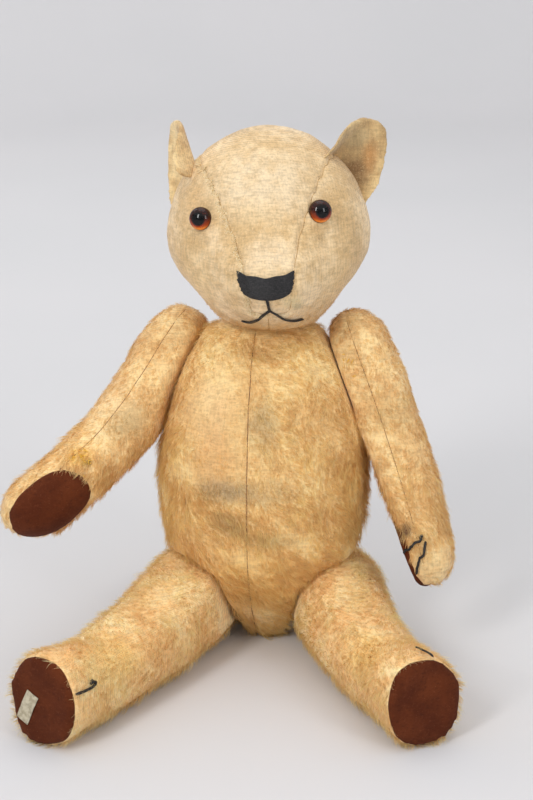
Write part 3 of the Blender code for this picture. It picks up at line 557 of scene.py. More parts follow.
def cloth_colour(paint, light, mid, dark, stains):
    """The colour of worn mohair: patches of three tones with stains on top."""
    broad = paint.noise(24, 3)
    small = paint.noise(120, 3)
    colour = paint.mix(paint.span(broad, 0.34, 0.66), srgb(*mid), srgb(*light))
    both = paint.math("ADD", paint.math("MULTIPLY", broad, 0.5), paint.math("MULTIPLY", small, 0.5))
    share = paint.span(both, 0.40, 0.62, 0.75, 0.0)
    colour = paint.mix(share, colour, srgb(*dark))
    uneven = paint.span(paint.noise(60, 4), 0.3, 0.62, 0.45, 1.0)
    for middle, radius, tone, strength in stains:
        share = paint.math("MULTIPLY", paint.math("MULTIPLY", paint.blob(middle, radius), uneven), strength)
        colour = paint.mix(share, colour, srgb(*tone))
    return colour


def mohair(name, light, mid, dark, stains, weave=0.5):
    """The bald cloth and the pile of one part of the bear, in the same colours."""
    paint = Paint("cloth_" + name, 0.85)
    colour = cloth_colour(paint, light, mid, dark, stains)
    threads = paint.math(
        "ADD",
        paint.noise(620, 2, (1, 1, 0.22)),
        paint.noise(620, 2, (0.22, 0.22, 1)),
    )
    warp = paint.math("ADD", paint.wave(1.0 * MM, "X"), paint.wave(1.0 * MM, "Z"))
    grain = paint.math("MULTIPLY_ADD", warp, 0.25, threads)
    share = paint.span(grain, 0.85, 1.55)
    dull = paint.mix(1.0, colour, (*(3 * [0.80 - 0.16 * weave]), 1), "MULTIPLY")
    bright = paint.mix(1.0, colour, (1.07, 1.06, 1.04, 1), "MULTIPLY")
    colour = paint.mix(share, dull, bright)
    fluff = paint.span(paint.noise(900, 2), 0.55, 0.75, 0.0, 0.35)
    colour = paint.mix(fluff, colour, srgb(*[min(255, c + 12) for c in light]))
    paint.finish(colour, paint.span(grain, 0.8, 1.6, 0.92, 0.74))
    paint.bump(grain, 0.45 * MM, 0.8)
    paint.shader.inputs["Sheen Weight"].default_value = 0.25
    paint.shader.inputs["Sheen Roughness"].default_value = 0.5

    paint = Paint("pile_" + name, 0.62)
    colour = cloth_colour(paint, light, mid, dark, stains)
    tone, tip = paint.value("tone"), paint.value("tip")
    colour = paint.mix(PILE_LIFT, colour, srgb(*light))
    # Painted shade: each strand is darker towards its root, where the pile shades itself.
    root = paint.mix(1.0, colour, (0.92, 0.86, 0.76, 1), "MULTIPLY")
    bright = paint.mix(0.85, colour, srgb(*[min(255, round(1.06 * c + 4)) for c in light]))
    outer = paint.mix(paint.span(tone, 0.35, 1.0), colour, bright)
    along = paint.mix(paint.span(tip, 0.0, 0.75), root, outer)
    deep = paint.mix(1.0, along, (0.88, 0.80, 0.68, 1), "MULTIPLY")
    colour = paint.mix(paint.span(tone, 0.0, 0.30, 0.6, 0.0), along, deep)
    paint.finish(colour, paint.span(tone, 0, 1, 0.7, 0.5))
    paint.shader.inputs["Specular IOR Level"].default_value = 0.3
    paint.let_through(colour, 0.5)


def stain(x, y, z, rx, ry, rz, tone, strength):
    return ((x, y, z), (rx, ry, rz), tone, strength)


def stain_on(nodes, across, ahead, up, rx, ry, rz, tone, strength):
    return (tuple(box_point(nodes, across, ahead, up)), (rx, ry, rz), tone, strength)


def head_stain(x, y, z, rx, ry, rz, tone, strength):
    return (tuple(head_point(x, y, z)), (rx, ry, rz), tone, strength)


PILE_LIFT = 0.5
GREY = (176, 146, 104)
OLIVE = (150, 138, 92)


def make_materials():
    mohair(
        "torso", (252, 221, 156), (245, 204, 138), (224, 178, 114),
        [stain_on(TORSO, *row) for row in (
            (0.5, 0.0, 0.55, 0.055, 0.05, 0.014, GREY, 0.6),
            (0.35, 0.0, 0.55, 0.030, 0.05, 0.016, (164, 138, 104), 0.6),
            (0.4, 0.0, 0.45, 0.022, 0.04, 0.016, GREY, 0.6),
            (0.55, 0.0, 0.75, 0.020, 0.04, 0.030, GREY, 0.65),
            (0.6, 0.0, 0.4, 0.030, 0.04, 0.010, OLIVE, 0.35),
            (0.5, 0.1, 0.95, 0.070, 0.04, 0.014, (170, 122, 66), 0.6),
            (0.3, 0.05, 0.8, 0.030, 0.04, 0.045, (238, 196, 140), 0.7),
            (0.35, 0.05, 0.65, 0.034, 0.04, 0.030, (226, 172, 112), 0.5),
            (0.75, 0.1, 0.75, 0.030, 0.05, 0.040, (222, 176, 112), 0.5),
            (0.5, 0.05, 0.25, 0.050, 0.05, 0.040, (236, 182, 92), 0.6),
            (0.05, 0.35, 0.5, 0.020, 0.06, 0.070, (236, 200, 118), 0.6),
            (0.95, 0.35, 0.45, 0.020, 0.06, 0.070, (228, 190, 108), 0.6),
            (0.5, 1.0, 0.55, 0.06, 0.04, 0.06, GREY, 0.3),
        )],
    )
    head_light = [head_stain(*row) for row in (
        (0.0, -0.05, 0.115, 0.06, 0.06, 0.035, (238, 216, 180), 0.8),
        (0.0, -0.095, 0.072, 0.026, 0.03, 0.022, (236, 214, 180), 0.8),
        (0.0, -0.105, 0.058, 0.020, 0.03, 0.012, (226, 196, 148), 0.55),
        (-0.010, -0.08, 0.098, 0.030, 0.03, 0.012, (232, 204, 156), 0.5),
        (0.019, -0.095, 0.036, 0.012, 0.02, 0.008, (214, 196, 146), 0.6),
        (0.022, -0.092, 0.031, 0.007, 0.02, 0.005, (160, 152, 110), 0.6),
        (-0.016, -0.1, 0.038, 0.010, 0.02, 0.006, (186, 150, 96), 0.6),
        (0.045, -0.03, 0.045, 0.03, 0.06, 0.035, (236, 200, 138), 0.6),
        (-0.045, -0.03, 0.045, 0.03, 0.06, 0.040, (236, 204, 146), 0.6),
        (0.0, -0.06, 0.005, 0.05, 0.06, 0.018, (232, 190, 112), 0.8),
        (-0.052, -0.04, 0.100, 0.014, 0.03, 0.020, (214, 170, 110), 0.55),
        (0.046, -0.04, 0.098, 0.016, 0.03, 0.014, (214, 172, 112), 0.5),
        (-0.045, -0.07, 0.092, 0.010, 0.02, 0.010, (206, 160, 116), 0.5),
    )]
    mohair("head", (242, 214, 170), (228, 196, 146), (204, 168, 114), head_light, 0.6)
    left_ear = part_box("ear_left_front")
    middle = (left_ear[0] + left_ear[1]) / 2
    mohair(
        "ear_left", (232, 204, 150), (214, 182, 128), (172, 138, 92),
        [
            stain(middle.x - 0.004, middle.y, middle.z - 0.014, 0.018, 0.03, 0.018, (120, 82, 44), 0.95),
            stain(middle.x + 0.008, middle.y, middle.z, 0.009, 0.03, 0.020, (186, 128, 66), 0.7),
            stain(middle.x - 0.002, middle.y, middle.z + 0.014, 0.016, 0.03, 0.012, (196, 178, 136), 0.6),
        ], 0.4,
    )
    mohair("ear_right", (242, 214, 160), (228, 194, 136), (188, 148, 96), [], 0.4)
    arm_tones = (252, 220, 160), (242, 202, 138), (220, 172, 110)
    low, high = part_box("arm_right_outer")
    mohair(
        "arm_right", *arm_tones,
        [
            stain(low.x + 0.075, low.y + 0.05, high.z - 0.062, 0.040, 0.06, 0.028, (248, 214, 160), 0.7),
            stain(low.x + 0.090, low.y + 0.05, high.z - 0.072, 0.022, 0.05, 0.018, (184, 158, 110), 0.55),
            stain(low.x + 0.105, low.y + 0.05, high.z - 0.030, 0.030, 0.05, 0.026, (222, 168, 100), 0.6),
            stain(low.x + 0.020, low.y + 0.02, low.z + 0.020, 0.020, 0.05, 0.020, (238, 212, 160), 0.6),
            stain_on(["paw_pad_right"], 0.95, 1.0, 1.1, 0.006, 0.02, 0.005, (96, 50, 28), 1.0),
            stain_on(["paw_pad_right"], 0.85, 1.0, 1.15, 0.014, 0.02, 0.011, (250, 204, 96), 0.8),
        ], 0.6,
    )
    low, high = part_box("arm_left_outer")
    mohair(
        "arm_left", *arm_tones,
        [
            stain((low.x + high.x) / 2, low.y, high.z - 0.070, 0.040, 0.08, 0.020, (202, 168, 112), 0.5),
            stain(high.x - 0.020, low.y, low.z + 0.045, 0.030, 0.08, 0.040, (240, 210, 154), 0.7),
            stain_on(["paw_pad_left"], 0.4, 0.1, 0.85, 0.006, 0.02, 0.008, (104, 56, 34), 1.0),
            stain_on(["paw_pad_left"], 0.65, 0.0, 0.45, 0.022, 0.03, 0.018, (232, 200, 146), 0.8),
        ], 0.6,
    )
    for side in SIDES:
        low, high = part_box(f"leg_{side}_cover")
        middle = (low + high) / 2
        mohair(
            "leg_" + side, (255, 234, 180), (254, 218, 158), (242, 194, 130),
            [
                stain(middle.x, middle.y, high.z, 0.05, 0.05, 0.02, (250, 208, 140), 0.6),
                stain(middle.x, middle.y, 0.0, 0.09, 0.14, 0.018, (238, 192, 110), 0.5),
                stain(middle.x, low.y + 0.05, 0.05, 0.04, 0.04, 0.03, (244, 208, 130), 0.7),
            ], 0.5,
        )

    paint = Paint("felt", 0.95)
    fibres = paint.math("ADD", paint.noise(700, 3, (1, 0.3, 1)), paint.noise(500, 3, (0.3, 1, 1)))
    colour = paint.mix(paint.span(paint.noise(45, 4), 0.3, 0.7), srgb(76, 32, 12), srgb(94, 44, 19))
    colour = paint.mix(paint.span(fibres, 1.1, 1.4, 0.0, 0.35), colour, srgb(118, 62, 34))
    colour = paint.mix(paint.span(fibres, 0.95, 0.7, 0.0, 0.5), colour, srgb(58, 27, 16))
    colour = paint.mix(paint.span(paint.noise(1500, 1), 0.70, 0.80, 0.0, 0.45), colour, srgb(160, 112, 80))
    paint.finish(colour, paint.span(fibres, 0.7, 1.4, 0.98, 0.86))
    paint.bump(fibres, 0.35 * MM, 0.7)
    paint.shader.inputs["Specular IOR Level"].default_value = 0.15
    paint.shader.inputs["Sheen Weight"].default_value = 0.03

    paint = Paint("thread", 0.5)
    twist = paint.math("ADD", paint.noise(1400, 2, (0.2, 1, 1)), paint.noise(1200, 2, (1, 0.3, 1)))
    colour = paint.mix(paint.span(twist, 0.8, 1.3), srgb(10, 9, 10), srgb(38, 34, 35))
    paint.finish(colour, paint.span(twist, 0.8, 1.3, 0.62, 0.42))
    paint.bump(twist, 0.25 * MM, 0.8)

    for name, dark, light in (
        ("seam_thread", (150, 112, 66), (206, 168, 110)),
        ("yellow_thread", (206, 150, 26), (250, 206, 74)),
        ("brown_thread", (96, 58, 30), (150, 96, 54)),
        ("pale_thread", (226, 192, 128), (252, 238, 200)),
    ):
        paint = Paint(name, 0.6)
        twist = paint.noise(1200, 2, (1, 0.3, 1))
        colour = paint.mix(paint.span(twist, 0.35, 0.65), srgb(*dark), srgb(*light))
        paint.finish(colour, paint.span(twist, 0.3, 0.7, 0.7, 0.5))
        paint.bump(twist, 0.2 * MM, 0.8)

    paint = Paint("glass", 0.04)
    ring, low = paint.value("ring"), paint.value("low")
    speckle = paint.noise(900, 2)
    # Painted light: the iris is darker at its top and brighter lower down, with an orange glow at its lower rim
    # where light through the glass would gather.
    iris = paint.mix(paint.span(low, -0.35, 0.65), srgb(30, 9, 5), srgb(168, 62, 18))
    lit = paint.math("MULTIPLY", paint.span(low, 0.35, 0.90), paint.span(ring, 0.60, 0.84))
    iris = paint.mix(lit, iris, srgb(255, 150, 56))
    iris = paint.mix(paint.span(speckle, 0.45, 0.7, 0.0, 0.3), iris, srgb(120, 40, 16))
    iris = paint.mix(paint.span(ring, 0.90, 0.99), iris, srgb(48, 16, 10))
    colour = paint.mix(paint.span(ring, 0.50, 0.70), srgb(2, 2, 3), iris)
    paint.finish(colour, paint.span(speckle, 0.3, 0.7, 0.03, 0.06))
    paint.shader.inputs["Specular IOR Level"].default_value = 0.32

    paint = Paint("card", 0.85)
    fibres = paint.noise(420, 4, (1, 1, 0.4))
    colour = paint.mix(paint.span(fibres, 0.3, 0.7), srgb(120, 88, 56), srgb(158, 122, 82))
    paint.finish(colour, paint.span(fibres, 0.3, 0.7, 0.9, 0.75))
    paint.bump(fibres, 0.2 * MM, 0.6)

    paint = Paint("steel", 0.35)
    paint.shader.inputs["Metallic"].default_value = 1.0
    rust = paint.span(paint.noise(260, 4), 0.52, 0.66)
    colour = paint.mix(rust, srgb(168, 168, 170), srgb(112, 66, 38))
    paint.finish(colour, paint.mix(rust, (0.3, 0.3, 0.3, 1), (0.8, 0.8, 0.8, 1)))
    paint.bump(paint.noise(800, 2), 0.05 * MM, 0.5)

    paint = Paint("stuffing", 0.95)
    strands = paint.math("ADD", paint.noise(300, 4, (1, 0.2, 1)), paint.noise(300, 4, (0.2, 1, 1)))
    paint.finish(paint.mix(paint.span(strands, 0.8, 1.2), srgb(150, 120, 76), srgb(214, 190, 142)), 0.95)
    paint.bump(strands, 1.0 * MM, 0.9)

    paint = Paint("label", 0.9)
    weave = paint.math("ADD", paint.wave(0.6 * MM, "X", 0.6), paint.wave(0.6 * MM, "Z", 0.6))
    worn = paint.noise(300, 4)
    colour = paint.mix(paint.span(worn, 0.35, 0.65), srgb(172, 160, 134), srgb(206, 196, 170))
    dirt = paint.span(paint.noise(520, 3, (1, 1, 0.5)), 0.52, 0.68, 0.0, 0.55)
    colour = paint.mix(dirt, colour, srgb(142, 132, 112))
    colour = paint.mix(paint.span(weave, 0.6, 1.4, 0.2, 0.0), colour, srgb(120, 110, 92))
    paint.finish(colour, paint.span(worn, 0.3, 0.7, 0.95, 0.8))
    paint.bump(weave, 0.12 * MM, 0.8)

    paint = Paint("stage", 0.9)
    soft = paint.noise(1.2, 2)
    paint.finish(paint.mix(paint.span(soft, 0.3, 0.7), srgb(208, 207, 208), srgb(212, 210, 211)), 0.9)


# Fur


class Surface:
    """Random points on a mesh, with their normals."""

    def __init__(self, *things):
        corners, normals = [], []
        for thing in things:
            mesh = thing.data
            mesh.calc_loop_triangles()
            index = np.zeros(len(mesh.loop_triangles) * 3, np.int32)
            mesh.loop_triangles.foreach_get("vertices", index)
            index = index.reshape(-1, 3)
            corners.append(positions(mesh)[index])
            normals.append(normals_of(mesh)[index])
        self.corners = np.concatenate(corners)
        self.normals = np.concatenate(normals)
        edge = self.corners[:, 1:] - self.corners[:, :1]
        self.areas = np.linalg.norm(np.cross(edge[:, 0], edge[:, 1]), axis=1) / 2
        self.middles = self.corners.mean(axis=1)
        self.facing = unit(self.normals.mean(axis=1))

    def points(self, number, rng, density=None):
        weight = self.areas * (1 if density is None else density(self.middles, self.facing))
        chosen = rng.choice(len(weight), size=number, p=weight / weight.sum())
        first, second = rng.random((2, number))
        over = first + second > 1
        first[over], second[over] = 1 - first[over], 1 - second[over]
        shares = np.stack([1 - first - second, first, second], axis=1)[:, :, None]
        return (self.corners[chosen] * shares).sum(1), unit((self.normals[chosen] * shares).sum(1))


def nearest(points, targets):
    """The index of the nearest target to each point."""
    tree = KDTree(len(targets))
    for index, target in enumerate(targets.tolist()):
        tree.insert(target, index)
    tree.balance()
    return np.array([tree.find(p)[1] for p in points.tolist()])


def strand_mesh(name, lines, side, widths, normals, tones):
    """Flat tapering ribbons, one for each line of points."""
    number, knots = lines.shape[:2]
    taper = np.linspace(1, 0.45, knots - 1)
    half = side * (widths / 2)[:, None]
    rows = []
    for knot in range(knots - 1):
        rows += [lines[:, knot] - half * taper[knot], lines[:, knot] + half * taper[knot]]
    rows.append(lines[:, -1])
    per = len(rows)
    places = np.stack(rows, axis=1).reshape(-1, 3)
    places[:, 2] = np.maximum(places[:, 2], 0.1 * MM)
    faces, sizes = [], []
    for knot in range(knots - 2):
        faces += [2 * knot + 1, 2 * knot, 2 * knot + 2, 2 * knot + 3]
        sizes.append(4)
    faces += [per - 2, per - 3, per - 1]
    sizes.append(3)
    corner = (np.array(faces)[None, :] + (np.arange(number) * per)[:, None]).ravel()
    sizes = np.tile(sizes, number)
    mesh = bpy.data.meshes.new(name)
    mesh.vertices.add(len(places))
    mesh.vertices.foreach_set("co", places.astype(np.float32).ravel())
    mesh.loops.add(len(corner))
    mesh.loops.foreach_set("vertex_index", corner.astype(np.int32))
    mesh.polygons.add(len(sizes))
    mesh.polygons.foreach_set("loop_start", (np.cumsum(sizes) - sizes).astype(np.int32))
    mesh.update(calc_edges=True)
    mesh.validate()
    tone = mesh.attributes.new("tone", "FLOAT", "POINT")
    tone.data.foreach_set("value", np.repeat(tones, per).astype(np.float32))
    rise = np.append(np.repeat(np.arange(knots - 1), 2), knots - 1) / (knots - 1)
    # tip runs from 0 at the root to 1 at the tip; the pile paint uses it for its painted shade at the roots.
    tip = mesh.attributes.new("tip", "FLOAT", "POINT")
    tip.data.foreach_set("value", np.tile(rise, number).astype(np.float32))
    across = math.ceil(math.sqrt(number))
    cell = np.stack([np.arange(number) % across, np.arange(number) // across], axis=1)
    inside = np.stack([np.tile([0.15, 0.85], per)[:per], 0.15 + 0.7 * rise], axis=1)
    spots = ((cell[:, None, :] + inside[None, :, :]) / across).reshape(-1, 2)
    layer = mesh.uv_layers.new(name="OFBake")
    layer.uv.foreach_set("vector", spots[corner].astype(np.float32).ravel())
    shade_smooth(mesh)
    mesh.normals_split_custom_set_from_vertices(np.repeat(normals, per, axis=0).tolist())
    return new_object(name, mesh)


def grow(name, body, pile, surface, number, seed, comb, length, width=0.36 * MM, density=None,
         lift=(38, 72), clump=3.6 * MM, knots=4, wild=0.28, curl=0.10, slot="body_mohair"):
    """Pile on a surface. comb gives the way it lies, length its length, both for each root."""
    rng = np.random.default_rng(seed)
    number = number
    width = width
    roots, normals = surface.points(number, rng, density)
    area = float((surface.areas * (1 if density is None else density(surface.middles, surface.facing))).sum())
    locks = max(8, int(area / clump**2))
    centres, _ = surface.points(locks, rng, density)
    lock = nearest(roots, centres)
    lock_turn = rng.normal(0, wild, locks)
    lock_tone = rng.random(locks)
    ways = np.zeros_like(roots) + comb(roots, normals)
    ways = unit(ways - normals * np.einsum("ij,ij->i", ways, normals)[:, None])
    turn = lock_turn[lock] + rng.normal(0, wild * 0.6, number) + waves(roots, 0.018, seed + 1) * 0.45
    beside = np.cross(normals, ways)
    ways = ways * np.cos(turn)[:, None] + beside * np.sin(turn)[:, None]
    beside = np.cross(normals, ways)
    lengths = length(roots) * rng.uniform(0.65, 1.25, number) * np.where(lock_tone[lock] > 0.75, 1.4, 1.0)
    gather = centres[lock] - roots
    gather -= normals * np.einsum("ij,ij->i", gather, normals)[:, None]
    bend = rng.normal(0, 1, number) * curl
    lines = [roots - normals * 0.4 * MM]
    steps = knots - 1
    for knot in range(1, knots):
        share = knot / steps
        lean = np.radians(lift[0] + (lift[1] - lift[0]) * share + rng.normal(0, 7, number))
        step = normals * np.cos(lean)[:, None] + ways * np.sin(lean)[:, None]
        step += beside * (bend * math.cos(math.pi * share))[:, None]
        place = lines[-1] + unit(step) * (lengths / steps)[:, None]
        lines.append(place + gather * (0.5 / steps))
    lines = np.stack(lines, axis=1)
    spin = rng.normal(0, 0.55, number)
    side = beside * np.cos(spin)[:, None] + normals * np.sin(spin)[:, None]
    tilt = rng.normal(0, 0.28, (number, 3))
    shown = unit(normals + tilt + normals * 0.15 - ways * 0.12)
    tones = np.clip(0.55 * lock_tone[lock] + 0.45 * rng.random(number), 0, 1)
    widths = width * rng.uniform(0.6, 1.3, number)
    made = strand_mesh(name, lines, side, widths, shown, tones)
    return dress(made, pile, body, slot=slot)


# Threads


def smooth_line(points, steps=6):
    """A Catmull-Rom line through the points."""
    points = [Vector(p) for p in points]
    if len(points) < 3:
        return points
    ends = [2 * points[0] - points[1], *points, 2 * points[-1] - points[-2]]
    line = []
    for index in range(1, len(ends) - 2):
        before, start, stop, after = ends[index - 1 : index + 3]
        for step in range(steps):
            t = step / steps
            line.append(
                0.5 * (2 * start + (stop - before) * t + (2 * before - 5 * start + 4 * stop - after) * t * t
                       + (3 * start - before - 3 * stop + after) * t**3)
            )
    return line + [points[-1]]


def tubes(name, lines, radius, sides=6, taper=0.55):
    """Round threads along some lines, with rounded ends, in one mesh."""
    bm = bmesh.new()
    for line in lines:
        rings = []
        line = [Vector(p) for p in line]
        up = Vector((0.31, 0.52, 0.79))
        for index, point in enumerate(line):
            ahead = (line[min(index + 1, len(line) - 1)] - line[max(index - 1, 0)]).normalized()
            first = ahead.cross(up).normalized()
            second = ahead.cross(first)
            size = radius * (taper if index in (0, len(line) - 1) else 1)
            rings.append([
                bm.verts.new(point + (first * math.cos(a) + second * math.sin(a)) * size)
                for a in (math.tau * k / sides for k in range(sides))
            ])
        for before, after in zip(rings, rings[1:]):
            for k in range(sides):
                bm.faces.new((before[k], before[(k + 1) % sides], after[(k + 1) % sides], after[k]))
        bm.faces.new(list(reversed(rings[0])))
        bm.faces.new(rings[-1])
    bmesh.ops.recalc_face_normals(bm, faces=bm.faces)
    return new_object(name, written(bm, name))


def seam_lines(*things):
    """The open edges of some covers, each once, joined into lines."""
    links = {}
    for thing in things:
        bm = bmesh_of(thing.data)
        for edge in bm.edges:
            if edge.is_boundary:
                first, second = (tuple(round(c, 5) for c in v.co) for v in edge.verts)
                if first != second:
                    links.setdefault(first, set()).add(second)
                    links.setdefault(second, set()).add(first)
        bm.free()
    lines = []
    used = set()
    for start in sorted(links, key=lambda point: (len(links[point]) == 2, point)):
        for step in sorted(links[start]):
            if frozenset((start, step)) in used:
                continue
            line = [start]
            before, at = start, step
            while True:
                used.add(frozenset((before, at)))
                line.append(at)
                ahead = [n for n in sorted(links[at]) if frozenset((at, n)) not in used]
                if len(links[at]) != 2 or not ahead:
                    break
                before, at = at, ahead[0]
            if len(line) > 8:
                places = np.array(line)
                for _ in range(24):
                    places[1:-1] = (places[:-2] + 2 * places[1:-1] + places[2:]) / 4
                lines.append([Vector(p) for p in places[::2]])
    return lines


def sew(name, body, things, joints, material="brown_thread", radius=0.26 * MM):
    """A thread along the seams round some covers, up to the flat faces of the joints."""
    lines = []
    for line in seam_lines(*things):
        run = []
        for point, clear in zip(line, joint_fade(np.array(line), joints, 6 * MM) > 0.9):
            if clear:
                run.append(point)
                continue
            lines.append(run)
            run = []
        lines.append(run)
    lines = [run for run in lines if len(run) > 4]
    return dress(tubes(name, lines, radius, sides=5), material, body, slot="thread")


def on_skin(tree, places, lift):
    """Points moved to a fixed height over the skin below them."""
    line = []
    for place in places:
        near, normal, _, _ = tree.find_nearest(Vector(place))
        line.append(near + normal * lift)
    return line


def on_face(tree, x, z, lift):
    """A point over the front of the head, from its place in the head's frame."""
    start = head_point(x, -0.3, z)
    near, normal, _, _ = tree.ray_cast(start, HEAD.to_3x3() @ Vector((0, 1, 0)))
    return near + normal * lift


# Parts


def build_torso():
    nodes = ["body_panel_left", "body_panel_right", "body_stuffing"]
    joints = ["neck"] + [f"{kind}_{side}" for kind in ("shoulder", "hip") for side in SIDES]
    torso = skin("torso", nodes, joints, VOXEL, 14)
    places = positions(torso.data)
    gap = distances(tree_of("body_panel_right"), places) - distances(tree_of("body_panel_left"), places)
    inner_filling("torso_stuffing", torso, "torso", "body_stuffing")
    seam_pull(torso, [gap], 1.3 * MM, 1.7 * MM)
    right = split(torso, gap, "body_cover_right")
    torso.name = "body_cover_left"
    dress(torso, "cloth_torso", "torso", ["body_panel_left"])
    dress(right, "cloth_torso", "torso", ["body_panel_right"])

    def comb(points, normals):
        front = smooth_step(-points[:, 1], -0.01, 0.04)
        ways = np.zeros_like(points)
        ways[:, 0] = 0.75 * front * (0.75 + 0.5 * smooth_step(points[:, 2], 0.20, 0.06))
        ways[:, 2] = -1
        edge = smooth_step(np.abs(points[:, 0]), 0.055, 0.080)
        ways[:, 0] *= 1 - 0.8 * edge
        ways[:, 0] += 0.35 * np.sign(points[:, 0]) * (1 - front)
        return ways

    def density(points, normals):
        worn = blob(points, box_point(TORSO, 0.3, 0.05, 0.85), (0.046, 0.05, 0.075))
        middle = blob(points, box_point(TORSO, 0.5, 0.0, 0.6), (0.040, 0.04, 0.030))
        chest = blob(points, box_point(TORSO, 0.65, 0.05, 0.9), (0.060, 0.04, 0.030))
        amount = 1 - 0.93 * worn - 0.55 * middle * (1 - worn) - 0.5 * chest * (1 - worn)
        patch = 0.75 + 0.35 * waves(points, 0.022, 21)
        fade = joint_fade(points, joints, 5 * MM)
        return np.clip(amount * patch, 0.03, 1.4) * np.clip(fade, 0, 1) + 1e-6

    def length(points):
        worn = blob(points, box_point(TORSO, 0.3, 0.05, 0.75), (0.050, 0.05, 0.085))
        edge = smooth_step(np.hypot(points[:, 0], points[:, 1]), 0.064, 0.080)
        low = smooth_step(-points[:, 2], -0.12, -0.05)
        return (6.2 + 3.2 * np.maximum(edge, low) - 3.8 * worn) * MM

    for index, thing in enumerate((torso, right)):
        grow("body_pile_" + SIDES[index], "torso", "pile_torso", Surface(thing), 26000, 31 + index, comb,
             length, density=density, lift=(46, 82))
    sew("body_seam_thread", "torso", [right], joints, radius=0.36 * MM)


def build_head():
    nodes = ["head_side_left", "head_side_right", "head_gusset", "head_stuffing"]
    head = skin("head", nodes, ["neck"], VOXEL, 12, lump=0.7 * MM)
    places = positions(head.data)
    left, right, gusset = (distances(tree_of(n), places) for n in nodes[:3])
    middle_gap = gusset - np.minimum(left, right)
    side_gap = right - left
    inner_filling("head_filling", head, "head", "head_stuffing")
    below = np.where(np.minimum(left, right) < gusset, side_gap, 1.0)
    seam_pull(head, [middle_gap, below], 1.1 * MM, 1.5 * MM)
    tree = skin_tree(head)
    whole = Surface(head)
    gusset_cover = split(head, middle_gap, "head_cover_gusset")
    places = positions(head.data)
    side_gap = distances(tree_of("head_side_right"), places) - distances(tree_of("head_side_left"), places)
    right_cover = split(head, side_gap, "head_cover_right")
    head.name = "head_cover_left"
    dress(head, "cloth_head", "head", ["head_side_left"])
    dress(right_cover, "cloth_head", "head", ["head_side_right"])
    dress(gusset_cover, "cloth_head", "head", ["head_gusset"])

    middle = np.array(head_point(0.002, -0.004, 0.071))
    down = np.array(HEAD.to_3x3() @ Vector((0, 0, -1)))
    front = np.array(HEAD.to_3x3() @ Vector((0, -1, 0)))

    def comb(points, normals):
        away = points - middle
        out = away - front * (away @ front)[:, None]
        return unit(out) * 0.8 + down * 0.7 - front * 0.3

    def fade(points):
        return joint_fade(points, ["neck"], 6 * MM)

    def fuzz(points, normals):
        low = smooth_step((points - middle) @ down, 0.02, 0.07)
        back = smooth_step((points - middle) @ -front, 0.0, 0.05)
        patch = 0.8 + 0.4 * waves(points, 0.014, 41)
        amount = 0.30 + 0.8 * low + 0.5 * back
        nose = blob(points, tuple(head_point(0.002, -0.1, 0.046)), (0.024, 0.03, 0.020))
        return np.clip(amount * patch, 0.05, 2) * fade(points) * (1 - nose) + 1e-6

    def length(points):
        low = smooth_step((points - middle) @ down, 0.03, 0.075)
        back = smooth_step((points - middle) @ -front, 0.0, 0.05)
        return (1.7 + 3.2 * low + 1.8 * back) * MM

    grow("head_pile", "head", "pile_head", whole, 42000, 51, comb, length, width=0.24 * MM, density=fuzz,
         lift=(48, 84), clump=2.2 * MM, knots=3, wild=0.5, slot="head_mohair")

    seam_tree = tree_of("head_gusset")
    side_tree = tree_of("head_side_right")

    def frayed(points, normals):
        gap = distances(seam_tree, points) - distances(side_tree, points)
        ahead = (points - middle) @ front > 0.0
        return np.where(ahead & (np.abs(gap) < 1.8 * MM) & (gap > -1.2 * MM), 1.0, 0.0) + 1e-9

    grow("head_seam_fibres", "head", "pale_thread", Surface(right_cover, gusset_cover), 1500, 61, comb,
         lambda points: np.full(len(points), 3.4 * MM), width=0.36 * MM, density=frayed, lift=(30, 78),
         clump=2 * MM, knots=3, wild=0.9, slot="head_mohair")
    sew("head_seam_thread", "head", [gusset_cover, right_cover], ["neck"], "seam_thread", 0.3 * MM)
    build_nose(tree)
    return tree


def build_nose(tree):
    """A block of satin stitches, and the thread that runs down from it into the mouth."""
    rng = np.random.default_rng(71)
    middle, top, rows = -0.0012, 0.0592, 18
    lines = []
    for row in range(rows):
        fall = row / (rows - 1)
        half = NOSE_WIDTH / 2 * (1.02 - 0.05 * fall - 0.13 * fall**3)
        line = []
        shift = rng.normal(0, 0.45) * MM
        for column in range(13):
            share = 2 * column / 12 - 1
            bow = 1 - share * share
            upper = top - 0.0032 * bow - 0.0004 * math.cos(9 * share)
            lower = top - NOSE_SIDE - NOSE_DROP * max(0.0, bow) ** 0.8
            lift = (0.80 + 1.2 * (1 - share**4) * math.sin(math.pi * (0.15 + 0.7 * fall))) * MM
            place = middle + half * share + shift * abs(share) + 0.0006 * fall
            line.append(on_face(tree, place, upper + (lower - upper) * fall, lift))
        lines.append(line)
    base = top - NOSE_SIDE - NOSE_DROP
    drop = base - MOUTH_STEM
    stem = []
    for k in range(6):
        stem.append(on_face(tree, middle + 0.0004 * k, base + 0.003 - (MOUTH_STEM + 0.003) * k / 5, 0.9 * MM))
    branches = []
    for sign, spread in ((-1, 0.0205), (1, 0.0240)):
        path = ((0.0, 0.0), (0.20, -0.26), (0.45, -0.64), (0.74, -0.93), (1.0, -0.95))
        start = middle + 0.002
        branch = [on_face(tree, start + sign * spread * x, drop + MOUTH_FALL * z, 0.85 * MM) for x, z in path]
        branches.append(branch)
    mouth = [smooth_line(line) for line in (stem, *branches)]
    twin = [[point + Vector((0.0009, 0, -0.0003)) for point in line] for line in mouth]
    nose = tubes("nose_and_mouth", [smooth_line(line, 3) for line in lines] + mouth + twin, THREAD)
    dress(nose, "thread", "head", ["nose_and_mouth_stitching"])


